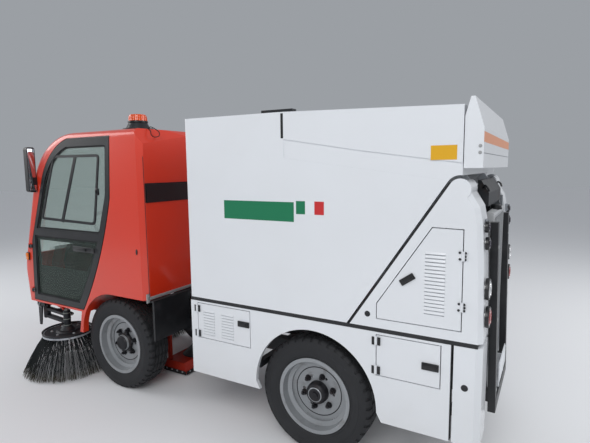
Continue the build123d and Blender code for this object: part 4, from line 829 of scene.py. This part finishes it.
# Rear: lamps, plates, the guard's screws, cooler mesh and cap, hooks
rear = {
    "lampX": 0.560,
    "lamps": [
        (1.460, 0.024, "lens_dark"),
        (1.379, 0.028, "lens_dark"),
        (1.152, 0.050, "lens_clear"),
        (1.011, 0.050, "lens_red"),
    ],
    "plateX": 0.440,
    "coolerBack": 1.928,
    "coolerZ": 0.9875,
    "coolerHalf": 0.265,
    "guardFoot": 0.392,
    "guardHigh": 1.063,
    "guardLean": 0.022,
}


def makeRear(side, sign):
    bezels = bmesh.new()
    for z, radius, lens in rear["lamps"]:
        face = skin("tail_lamps", (sign * rear["lampX"], 3.0, z), (0, -1, 0)).y
        centre = Vector((sign * rear["lampX"], face, z))
        ring = [(-0.016, radius), (-0.016, radius + 0.004), (-0.002, radius + 0.004)]
        ring += [(0.0025, radius + 0.001), (0.0025, radius - 0.004), (0.0004, radius - 0.0045)]
        turned(bezels, ring, centre, (0, 1, 0), steps=40)
        glassMesh = bmesh.new()
        dome = [(0.0003, radius - 0.004), (0.003, radius * 0.82), (0.0052, radius * 0.5)]
        dome += [(0.006, radius * 0.18), (0.006, 0.0)]
        turned(glassMesh, dome, centre, (0, 1, 0), steps=36)
        for share in (0.35, 0.62):
            ridge = [(0.0042, share), (0.0066, share + 0.03), (0.0042, share + 0.06)]
            turned(glassMesh, [(along, radius * part) for along, part in ridge], centre, (0, 1, 0), steps=36)
        piece(f"tail_lens_{round(z * 1000)}_{side}", glassMesh, lens, "chassis")
    piece(f"tail_bezels_{side}", bezels, "trim_black", "chassis")
    # Upright plate and the bracket by the upper lamp
    metal = bmesh.new()
    block(metal, (sign * rear["plateX"], 1.8975, 1.440), (0.004, 0.016, 0.240))
    block(metal, (sign * 0.5250, 1.9235, 1.470), (0.030, 0.012, 0.052), soft=0.003)
    bolts(metal, [(sign * 0.5250, 1.9295, z) for z in (1.485, 1.456)], (0, 1, 0), 0.006, 0.006)
    piece(f"rear_plate_{side}", metal, "grey_steel", "chassis")
    yellow = bmesh.new()
    block(yellow, (sign * (rear["plateX"] + 0.004), 1.9005, 1.352), (0.003, 0.012, 0.296))
    piece(f"rear_strip_{side}", yellow, "brass_strip", "chassis")
    # Screws down the guard's leaning posts
    screws = bmesh.new()
    for z in (0.520, 0.920, 1.320):
        lean = rear["guardLean"] * (z - rear["guardFoot"]) / rear["guardHigh"]
        rod(screws, (sign * 0.293, 1.9795 - lean, z), (sign * 0.293, 1.9830 - lean, z), 0.011, 20)
    piece(f"guard_screws_{side}", screws, "zinc", "chassis")


bothSides(makeRear)
mesh = bmesh.new()
half = rear["coolerHalf"] - 0.029
for index in range(43):
    x = -half + 2 * half * index / 42
    block(mesh, (x, rear["coolerBack"] + 0.0006, rear["coolerZ"]), (0.0016, 0.0016, 0.975))
for z in (0.499, 1.476):
    block(mesh, (0, rear["coolerBack"] + 0.0010, z), (2 * half + 0.012, 0.004, 0.010), soft=0.001)
for x in (-half - 0.004, half + 0.004):
    block(mesh, (x, rear["coolerBack"] + 0.0010, rear["coolerZ"]), (0.010, 0.004, 0.986), soft=0.001)
piece("cooler_mesh", mesh, "zinc", "chassis")
capMesh = bmesh.new()
capProfile = [(-0.004, 0.034), (0.006, 0.034), (0.006, 0.030), (0.020, 0.030), (0.024, 0.026), (0.024, 0.0)]
turned(capMesh, capProfile, (0.0, 1.9105, 1.5045), (0, 0, 1), steps=32)
piece("cooler_cap", capMesh, "trim_black", "chassis")
plateMesh = bmesh.new()
block(plateMesh, (0, 1.9815, 0.560), (0.336, 0.003, 0.110), soft=0.001)
block(plateMesh, (0, 1.9775, 0.560), (0.350, 0.005, 0.124), soft=0.002)
for x in (-0.120, 0.120):
    block(plateMesh, (x, 1.9600, 0.500), (0.020, 0.036, 0.140), soft=0.002)
piece("number_plate_rear", plateMesh, "band_white", "chassis")
hook = bmesh.new()
hookPath = [(0.306, 1.874, 1.640), (0.322, 1.885, 1.652), (0.330, 1.900, 1.640), (0.324, 1.906, 1.622)]
for sign in (1, -1):
    tube(hook, flowing([(sign * x, y, z) for x, y, z in hookPath], 4), 0.006)
piece("chute_hooks", hook, "trim_black", "chassis")

# Cab: beacon, roof wire, indicators, the rear groove's painted shade, mirrors, wipers, lamps and nose
cab = {
    "half": 0.635,
    "roof": 2.057,
    "rear": -0.380,
    "beacon": (0.470, -0.560),
    "beaconBolts": 0.1,
    "mirror": (0.674, -1.672, 1.766),
    "headLamp": (0.430, 0.800),
}
beaconX, beaconY = cab["beacon"]
bm = bmesh.new()
lensTop = cab["roof"] + 0.055
collarProfile = [(-0.003, 0.0700), (-0.003, 0.0730), (0.008, 0.0730), (0.010, 0.0705), (0.0, 0.0690)]
turned(bm, collarProfile, (beaconX, beaconY, lensTop), (0, 0, 1), steps=48)
for index in range(4):
    angle = math.radians(45 + 90 * index)
    circle = cab["beaconBolts"]
    foot = (beaconX + circle * math.cos(angle), beaconY + circle * math.sin(angle), cab["roof"] + 0.008)
    bolts(bm, [foot], (0, 0, 1), 0.005, 0.005)
piece("beacon_collar", bm, "trim_black", "chassis")
bm = bmesh.new()
for index in range(36):
    angle = math.tau * index / 36
    out = Vector((math.cos(angle), math.sin(angle), 0))
    foot = Vector((beaconX, beaconY, lensTop + 0.010)) + out * 0.0665
    rod(bm, foot, foot + Vector((0, 0, 0.034)) - out * 0.0030, 0.0022, 8)
piece("beacon_ribs", bm, "amber", "chassis")
bm = bmesh.new()
wire = [
    (0.470, -0.452, 2.062),
    (0.475, -0.424, 2.072),
    (0.462, -0.400, 2.060),
    (0.440, -0.376, 2.034),
    (0.452, -0.366, 2.004),
    (0.496, -0.366, 1.994),
    (0.520, -0.372, 2.010),
    (0.512, -0.388, 2.040),
    (0.500, -0.430, 2.0615),
]
tube(bm, flowing(wire, 6), 0.0032, 8)
piece("beacon_wire", bm, "seal_rubber", "chassis")


def makeCabSide(side, sign):
    bm = bmesh.new()
    # Black strip as painted shade in the groove of the rear wall, and the dark lock on the side
    block(bm, (sign * 0.604, cab["rear"] + 0.0004, 1.330), (0.003, 0.002, 1.040))
    turn = Matrix.Rotation(math.radians(90), 4, "Y")
    lock = bmesh.ops.create_circle(bm, cap_ends=True, segments=28, radius=1.0)["verts"]
    bmesh.ops.scale(bm, vec=(0.021, 0.0085, 1.0), verts=lock)
    moved(bm, lock, Matrix.Translation((sign * (cab["half"] + 0.0004), -0.457, 1.150)) @ turn)
    thicken(bm, list({face for vert in lock for face in vert.link_faces}), (sign * 0.003, 0, 0))
    piece(f"cab_groove_shade_and_lock_{side}", bm, "trim_black", "chassis")
    bm = bmesh.new()
    for z in (1.5165, 1.6555):
        block(bm, (sign * 0.300, cab["rear"] + 0.0030, z), (0.590, 0.006, 0.005), soft=0.001)
    block(bm, (sign * 0.596, cab["rear"] + 0.0030, 1.586), (0.006, 0.006, 0.140), soft=0.001)
    piece(f"rear_window_trim_{side}", bm, "seal_rubber", "chassis")
    bm = bmesh.new()
    block(bm, (sign * 0.300, cab["rear"] + 0.0040, 0.800), (0.600, 0.008, 0.022), soft=0.002)
    block(bm, (sign * 0.612, cab["rear"] - 0.0050, 0.800), (0.030, 0.012, 0.070), soft=0.003)
    bolts(bm, [(sign * 0.612, cab["rear"] + 0.001, z) for z in (0.820, 0.780)], (0, 1, 0), 0.006, 0.006)
    piece(f"cab_rear_trim_{side}", bm, "zinc", "chassis")
    # Side indicator on the door pillar's foot
    bm = bmesh.new()
    indicator = skin("cab_shell", (sign * 1.2, -1.860, 1.000), (-sign, 0, 0))
    block(bm, indicator + Vector((sign * 0.004, 0, 0)), (0.012, 0.040, 0.070), soft=0.003)
    piece(f"indicator_base_{side}", bm, "trim_black", "chassis")
    bm = bmesh.new()
    block(bm, indicator + Vector((sign * 0.013, 0, 0)), (0.012, 0.034, 0.062), soft=0.005)
    piece(f"indicator_lens_{side}", bm, "lens_amber", "chassis")
    # Mirror glass with its rim
    x, y, z = cab["mirror"]
    bm = bmesh.new()
    block(bm, (sign * x, y + 0.0305, z), (0.058, 0.003, 0.350), soft=0.0012)
    piece(f"mirror_glass_{side}", bm, "mirror_glass", "chassis")
    bm = bmesh.new()
    for lift in (-0.100, 0.0):
        start = Vector((sign * (x - 0.020), y, z + lift))
        rod(bm, start, start - Vector((sign * 0.018, 0, 0)), 0.010, 20)
    piece(f"mirror_clamps_{side}", bm, "trim_black", "chassis")
    # Head lamp: two reflector bowls and the rim
    x, z = cab["headLamp"]
    front = skin("head_lamps", (sign * x, -3.0, z), (0, 1, 0)).y
    bm = bmesh.new()
    for offset, radius in ((-0.038, 0.040), (0.040, 0.034)):
        centre = Vector((sign * (x + offset), front, z))
        bowl = [(0.0004, radius), (0.005, radius - 0.001), (0.005, radius - 0.005)]
        bowl += [(0.001, radius - 0.009), (0.0015, 0.0)]
        turned(bm, bowl, centre, (0, -1, 0), steps=40)
    piece(f"head_lamp_bowls_{side}", bm, "lens_clear", "chassis")
    bm = bmesh.new()
    outline = rounded([(-0.086, -0.056), (0.086, -0.056), (0.086, 0.056), (-0.086, 0.056)], 0.022, 5)
    loops = []
    for edge in (outline, inward(outline, 0.007)):
        loops.append([bm.verts.new((sign * x + across, front + 0.001, z + up)) for across, up in edge])
    thicken(bm, ringFaces(bm, *loops), (0, -0.005, 0))
    piece(f"head_lamp_rim_{side}", bm, "trim_black", "chassis")
    # Wiper lying on the windscreen
    bm = bmesh.new()
    foot = skin("cab_shell", (sign * 0.120, -3.0, 0.960), (0, 1, 0))
    spots = []
    for step in range(9):
        start = (sign * (0.120 + 0.040 * step), -3.0, 1.045 + 0.015 * step)
        spots.append(skin("windscreen", start, (0, 1, 0)))
    rod(bm, foot + Vector((0, 0.004, 0)), foot - Vector((0, 0.030, 0)), 0.013, 20)
    armPath = [(foot, 0.024), (spots[2], 0.030), (spots[4], 0.016)]
    tube(bm, [spot - Vector((0, lift, 0)) for spot, lift in armPath], 0.0055, 8)
    tube(bm, [spot - Vector((0, 0.0055, 0)) for spot in spots], 0.0045, 8)
    piece(f"wiper_{side}", bm, "trim_black", "chassis")


bothSides(makeCabSide)
bm = bmesh.new()
bumperZ = middle("front_bumper").z
noseFace = skin("front_bumper", (0, -3.0, bumperZ), (0, 1, 0))
bumperFace = noseFace.y
block(bm, (0, bumperFace - 0.0030, noseFace.z), (0.336, 0.005, 0.066), soft=0.002)
piece("number_plate_front", bm, "band_white", "chassis")
bm = bmesh.new()
bolts(bm, [(x, bumperFace, noseFace.z) for x in (-0.46, -0.26, 0.26, 0.46)], (0, -1, 0), 0.008, 0.006)
piece("bumper_bolts", bm, "zinc", "chassis")
bm = bmesh.new()
for row in range(5):
    z = 0.905 + 0.022 * row
    hit = skin("cab_shell", (0, -3.0, z), (0, 1, 0)).y
    block(bm, (0, hit + 0.001, z), (0.520, 0.006, 0.010), soft=0.002)
piece("nose_slots", bm, "trim_black", "chassis")
print("rear and cab dressed")


# Brushes: disc rim, bolts, motor, hoses and the orange strut; the suction pipe's ends
under = {
    "motorTop": 0.520,
    "armY": -1.868,
    "strut": [(-1.665, 0.537), (-1.605, 0.546)],
    "pipeLow": (-0.530, 0.112),
    "pipeHigh": (0.330, 0.8865),
}


def makeBrushFittings(side, sign):
    x, y = sign * brush["x"], brush["y"]
    discTop = skin(f"brush_disc_{side}", (x + sign * 0.150, y, 1.0), (0, 0, -1)).z
    bm = bmesh.new()
    rim = [(0.0002, 0.188), (0.0022, 0.190), (0.0022, 0.2035), (-0.002, 0.2062), (-0.020, 0.2062)]
    turned(bm, [(discTop + up, radius) for up, radius in rim], (x, y, 0), (0, 0, 1), steps=72)
    piece(f"brush_rim_{side}", bm, "worn_edge", f"brush_{side}")
    bm = bmesh.new()
    spots = []
    for index in range(6):
        angle = math.tau * index / 6 + 0.3
        spots.append((x + 0.130 * math.cos(angle), y + 0.130 * math.sin(angle), discTop))
    bolts(bm, spots, (0, 0, 1), 0.0085, 0.009)
    piece(f"brush_bolts_{side}", bm, "zinc", f"brush_{side}")
    bm = bmesh.new()
    for height in (0.385, 0.440, 0.495):
        collar(bm, (x, y, 0), (0, 0, 1), (height, height + 0.006), (0.0300, 0.0325), 40)
    rod(bm, (x, y, under["motorTop"] - 0.001), (x, y, under["motorTop"] + 0.012), 0.022, 28, 0.018)
    for turn in (-0.5, 0.5):
        spot = Vector((x - sign * 0.028 * math.cos(turn), y + 0.028 * math.sin(turn), 0.470))
        rod(bm, spot, spot + Vector((-sign * 0.020 * math.cos(turn), 0.020 * math.sin(turn), 0)), 0.008, 16)
    piece(f"brush_motor_{side}", bm, "motor_grey", f"brush_arm_body_{side}")
    bm = bmesh.new()
    (startY, startZ), (endY, endZ) = under["strut"]
    path = [
        (sign * 0.516, startY, startZ), (sign * 0.516, endY, endZ - 0.020), (sign * 0.520, y - 0.040, 0.500)
    ]
    for first, second in zip(path, path[1:]):
        tube(bm, [first, second], 0.010, 12)
    piece(f"brush_strut_{side}", bm, "orange_paint", f"brush_arm_body_{side}")
    bm = bmesh.new()
    for offset in (-0.010, 0.012):
        path = [
            (x - sign * 0.050, y + offset, 0.470),
            (x - sign * 0.085, y - 0.060 + offset, 0.462),
            (x - sign * 0.075, y - 0.180 + offset, 0.478),
            (x - sign * 0.040, under["armY"] + 0.060 + offset, 0.474),
        ]
        tube(bm, flowing(path, 5), 0.0065, 8)
    piece(f"brush_hoses_{side}", bm, "seal_rubber", f"brush_arm_body_{side}")
    bm = bmesh.new()
    hookAt = [(0.548, -1.865, 0.560), (0.562, -1.880, 0.540), (0.560, -1.895, 0.515), (0.545, -1.890, 0.500)]
    tube(bm, flowing([(sign * across, back, up) for across, back, up in hookAt], 5), 0.005, 8)
    piece(f"brush_hook_{side}", bm, "zinc", "chassis")


finishes["worn_edge"] = rolled("WornEdge", shade(172, 176, 182), 0.3, shade(52, 50, 54), 0.9)
finishes["motor_grey"] = rolled("MotorGrey", shade(134, 140, 134), 0.42, shade(80, 76, 66), 0.4)
bothSides(makeBrushFittings)

# Ribs of the suction hose, clamps at its ends, rubber skirt round the mouth
bm = bmesh.new()
low = Vector((0, *under["pipeLow"]))
high = Vector((0, *under["pipeHigh"]))
along = (high - low).normalized()
reach = (high - low).length
ribs = 30
for index in range(ribs):
    centre = low + along * (0.150 + (reach - 0.300) * index / (ribs - 1))
    ring = [(-0.006, 0.0745), (-0.004, 0.0785), (0.0, 0.0798), (0.004, 0.0785), (0.006, 0.0745)]
    turned(bm, ring, centre, along, steps=36)
piece("suction_ribs", bm, "pipe_rubber", "chassis")
bm = bmesh.new()
for share in (0.135, reach - 0.135):
    centre = low + along * share
    collar(bm, centre, along, (-0.009, 0.009), (0.0745, 0.0805), 44)
    block(bm, centre + Vector((0.086, 0, 0)), (0.016, 0.018, 0.022), soft=0.002)
piece("suction_clamps", bm, "zinc", "chassis")
bm = bmesh.new()
for sign in (1, -1):
    block(bm, (sign * 0.1935, -0.570, 0.027), (0.006, 0.250, 0.030), soft=0.001)
block(bm, (0, -0.4385, 0.028), (0.376, 0.006, 0.028), soft=0.001)
piece("suction_skirt", bm, "seal_rubber", "chassis")
bm = bmesh.new()
bolts(bm, [(x, -0.4355, 0.035) for x in (-0.150, -0.075, 0.0, 0.075, 0.150)], (0, 1, 0), 0.006, 0.005)
for sign in (1, -1):
    spots = [(sign * 0.1965, y, 0.035) for y in (-0.660, -0.600, -0.540, -0.480)]
    bolts(bm, spots, (sign, 0, 0), 0.006, 0.005)
piece("suction_bolts", bm, "zinc", "chassis")

# Hydraulic hoses along the rails, glands and ports of the tip cylinders
railPath = [(0.150, -1.700, 0.545), (0.142, -1.200, 0.548), (0.146, -0.450, 0.550)]
railPath += [(0.140, 0.140, 0.548), (0.148, 0.700, 0.552), (0.146, 1.150, 0.550)]
bm = bmesh.new()
for sign in (1, -1):
    for offset in (0.0, 0.020):
        path = [(sign * (x - offset), y, z) for x, y, z in railPath]
        tube(bm, flowing(path, 6), 0.0075, 8)
piece("rail_hoses", bm, "seal_rubber", "chassis")
bm = bmesh.new()
cylinderAxis = Vector((0, 0.41667, 0.90906))
for sign in (1, -1):
    foot = Vector((sign * 0.300, 1.180, 0.580))
    for share in (0.070, 0.455):
        collar(bm, foot + cylinderAxis * share, cylinderAxis, (-0.010, 0.010), (0.029, 0.0335), 36)
    port = foot + cylinderAxis * 0.110
    rod(bm, port + Vector((0, 0.020, -0.009)), port + Vector((0, 0.048, -0.022)), 0.009, 6)
piece("cylinder_glands", bm, "zinc", "tip_barrel_body")
print("brushes, suction gear and hoses made")


# Inside the cab: padded seat, rests, horn pad, instruments, pedals and lever
seat = {
    "half": 0.218,
    "cushion": [
        (-0.955, 1.046), (-0.600, 1.040), (-0.560, 1.120), (-0.640, 1.128), (-0.915, 1.148), (-0.960, 1.112)
    ],
    "back": [
        (-0.545, 1.100), (-0.478, 1.100), (-0.466, 1.630), (-0.528, 1.632), (-0.585, 1.400), (-0.590, 1.180)
    ],
    "voxel": 0.006,
    "swell": 0.010,
    "pressure": 4.0,
    "frames": 20,
}


def slabBetween(bm, outline, half):
    face = bm.faces.new([bm.verts.new((-half, y, z)) for y, z in outline])
    thicken(bm, [face], (2 * half, 0, 0))
    edges = list(bm.edges)
    bmesh.ops.bevel(bm, geom=edges, offset=0.020, segments=3, profile=0.5, affect="EDGES", material=-1)


def padding(thing):
    # Swell the form as stuffed cloth, with a cap on how far a point moves
    scene = bpy.context.scene
    remesh = thing.modifiers.new("Remesh", "REMESH")
    remesh.mode = "VOXEL"
    remesh.voxel_size = seat["voxel"]
    graph = bpy.context.evaluated_depsgraph_get()
    dense = bpy.data.meshes.new_from_object(thing.evaluated_get(graph), depsgraph=graph)
    thing.modifiers.clear()
    thing.data = dense
    rest = [vert.co.copy() for vert in dense.vertices]
    cloth = thing.modifiers.new("Cloth", "CLOTH")
    cloth.settings.use_pressure = True
    cloth.settings.uniform_pressure_force = seat["pressure"]
    cloth.settings.effector_weights.gravity = 0.0
    cloth.settings.quality = 5
    cloth.point_cache.frame_start = 1
    cloth.point_cache.frame_end = seat["frames"]
    for step in range(1, seat["frames"] + 1):
        scene.frame_set(step)
    graph = bpy.context.evaluated_depsgraph_get()
    swollen = bpy.data.meshes.new_from_object(thing.evaluated_get(graph), depsgraph=graph)
    thing.modifiers.clear()
    for vert, start in zip(swollen.vertices, rest):
        shift = vert.co - start
        if shift.length > seat["swell"]:
            vert.co = start + shift.normalized() * seat["swell"]
    thing.data = swollen
    thing.data.shade_smooth()
    scene.frame_set(1)


def makeCushion(name, outline):
    bm = bmesh.new()
    slabBetween(bm, outline, seat["half"])
    cushion = piece(name, bm, "seat_fabric", "chassis", 60)
    padding(cushion)
    cushion.data.materials.clear()
    cushion.data.materials.append(finishes["seat_fabric"])
    grain = cushion.modifiers.new("Smooth", "SUBSURF")
    grain.levels = 1
    grain.render_levels = 1
    return cushion


cushionPiece = makeCushion("seat_cushion", seat["cushion"])
makeCushion("seat_back", seat["back"])
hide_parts("seat")
bm = bmesh.new()
for z in (1.24, 1.36, 1.48):
    y = -0.590 + (z - 1.18) * 0.12
    tube(bm, [(-0.205, y, z), (0.205, y, z)], 0.0025, 6)
piece("seat_seams", bm, "seal_rubber", "chassis")
bm = bmesh.new()
for x in (-0.060, 0.060):
    rod(bm, (x, -0.505, 1.615), (x, -0.500, 1.700), 0.006, 12)
block(bm, (0, -0.502, 1.760), (0.250, 0.075, 0.150), soft=0.024)
piece("head_rest", bm, "trim_black", "chassis")
bm = bmesh.new()
for x in (-0.280, 0.280):
    block(bm, (x, -0.760, 1.190), (0.052, 0.300, 0.044), soft=0.016)
    rod(bm, (x, -0.640, 1.030), (x, -0.640, 1.180), 0.012, 14)
piece("arm_rests", bm, "trim_black", "chassis")
bm = bmesh.new()
wheelAxis = Vector((0, 0.78087, 0.62470))
wheelCentre = Vector((0, -1.390, 1.210)) + wheelAxis * 0.010
for index in range(4):
    angle = math.radians(45 + 90 * index)
    spot = wheelCentre + wheelAxis * 0.0235
    across = wheelAxis.orthogonal().normalized()
    out = Quaternion(wheelAxis, angle) @ across
    bolts(bm, [spot + out * 0.030], wheelAxis, 0.004, 0.003)
hornProfile = [(0.0305, 0.028), (0.0345, 0.026), (0.0360, 0.018), (0.0360, 0.0)]
turned(bm, hornProfile, wheelCentre - wheelAxis * 0.008, wheelAxis, steps=32)
piece("horn_pad", bm, "trim_black", "steering_wheel_body")
bm = bmesh.new()
panelTurn = Matrix.Rotation(math.radians(-38), 4, "X")
block(bm, (0.0, -1.655, 1.078), (0.300, 0.020, 0.100), panelTurn, 0.006)
piece("instrument_hood", bm, "trim_black", "chassis")
bm = bmesh.new()
dialProfile = [(0.0, 0.036), (0.004, 0.035), (0.004, 0.031), (0.001, 0.029), (0.001, 0.0)]
facing = panelTurn @ Vector((0, 1, 0))
for x in (-0.090, 0.0, 0.090):
    centre = Vector((x, -1.655, 1.078)) + facing * 0.0102
    turned(bm, dialProfile, centre, facing, steps=32)
piece("dials", bm, "lens_clear", "chassis")
bm = bmesh.new()
for x in (-0.130, 0.110):
    block(bm, (x, -1.640, 0.700), (0.060, 0.012, 0.090), Matrix.Rotation(math.radians(-35), 4, "X"), 0.004)
    rod(bm, (x, -1.652, 0.700), (x, -1.715, 0.760), 0.008, 12)
piece("pedals", bm, "trim_black", "chassis")
bm = bmesh.new()
rod(bm, (0.385, -1.640, 1.030), (0.385, -1.600, 1.115), 0.007, 12)
bmesh.ops.create_uvsphere(
    bm, u_segments=20, v_segments=12, radius=0.017, matrix=Matrix.Translation((0.385, -1.598, 1.125))
)
piece("tip_lever", bm, "trim_black", "chassis")
print("cab inside made")

# Light, floor and camera
view = {
    "place": (2.917, 2.202, 1.7541),
    "aim": (-0.86204, -0.49320, -0.11682),
    "roll": -0.01121,
    "lens": 27.59,
    "sensor": 36.0,
}
camera = bpy.data.objects.new("Camera", bpy.data.cameras.new("Camera"))
bpy.context.scene.collection.objects.link(camera)
camera.location = view["place"]
look = Vector(view["aim"]).to_track_quat("-Z", "Y") @ Quaternion((0, 0, 1), view["roll"])
camera.rotation_euler = look.to_euler()
camera.data.lens = view["lens"]
camera.data.sensor_width = view["sensor"]
camera.data.clip_end = 100
bpy.context.scene.camera = camera

floorMesh = bmesh.new()
bmesh.ops.create_grid(floorMesh, x_segments=1, y_segments=1, size=40)
floorData = bpy.data.meshes.new("floor")
floorMesh.to_mesh(floorData)
floorMesh.free()
floor = bpy.data.objects.new("floor", floorData)
bpy.context.scene.collection.objects.link(floor)
floorData.materials.append(plain("Paving", shade(238, 239, 241), 0.85))

world = bpy.data.worlds.new("Studio")
bpy.context.scene.world = world
world.use_nodes = True
tree = world.node_tree
background = tree.nodes["Background"]
background.inputs["Color"].default_value = (*shade(226, 230, 236), 1.0)
background.inputs["Strength"].default_value = 0.5
# Seen straight on or through glass, the world has the colour of the far floor
backdrop = addNode(tree, "Background", Color=(*shade(155, 159, 164), 1.0))
straight = addNode(tree, "LightPath", output="Is Camera Ray")
through = addNode(tree, "LightPath", output="Is Transmission Ray")
studio = Sock(tree, background.outputs[0])
blended = addNode(tree, "MixShader", i0=straight.math("MAXIMUM", through), i1=studio, i2=backdrop)
feed(tree, tree.nodes["World Output"].inputs["Surface"], blended)


def lamp(name, place, aim, power, size):
    light = bpy.data.objects.new(name, bpy.data.lights.new(name, "AREA"))
    light.data.energy = power
    light.data.size = size
    light.location = place
    light.rotation_euler = (Vector(aim) - Vector(place)).to_track_quat("-Z", "Y").to_euler()
    bpy.context.scene.collection.objects.link(light)


lamp("keyLamp", (5.5, 2.5, 5.0), (0, 0, 1.0), 200, 4.0)
lamp("backLamp", (-3.0, 6.0, 4.5), (0, 0.5, 1.0), 170, 4.0)
lamp("frontLamp", (2.5, -6.5, 4.0), (0, -0.5, 1.0), 140, 4.0)
bpy.context.scene.view_settings.view_transform = "Standard"

print("scene ready")
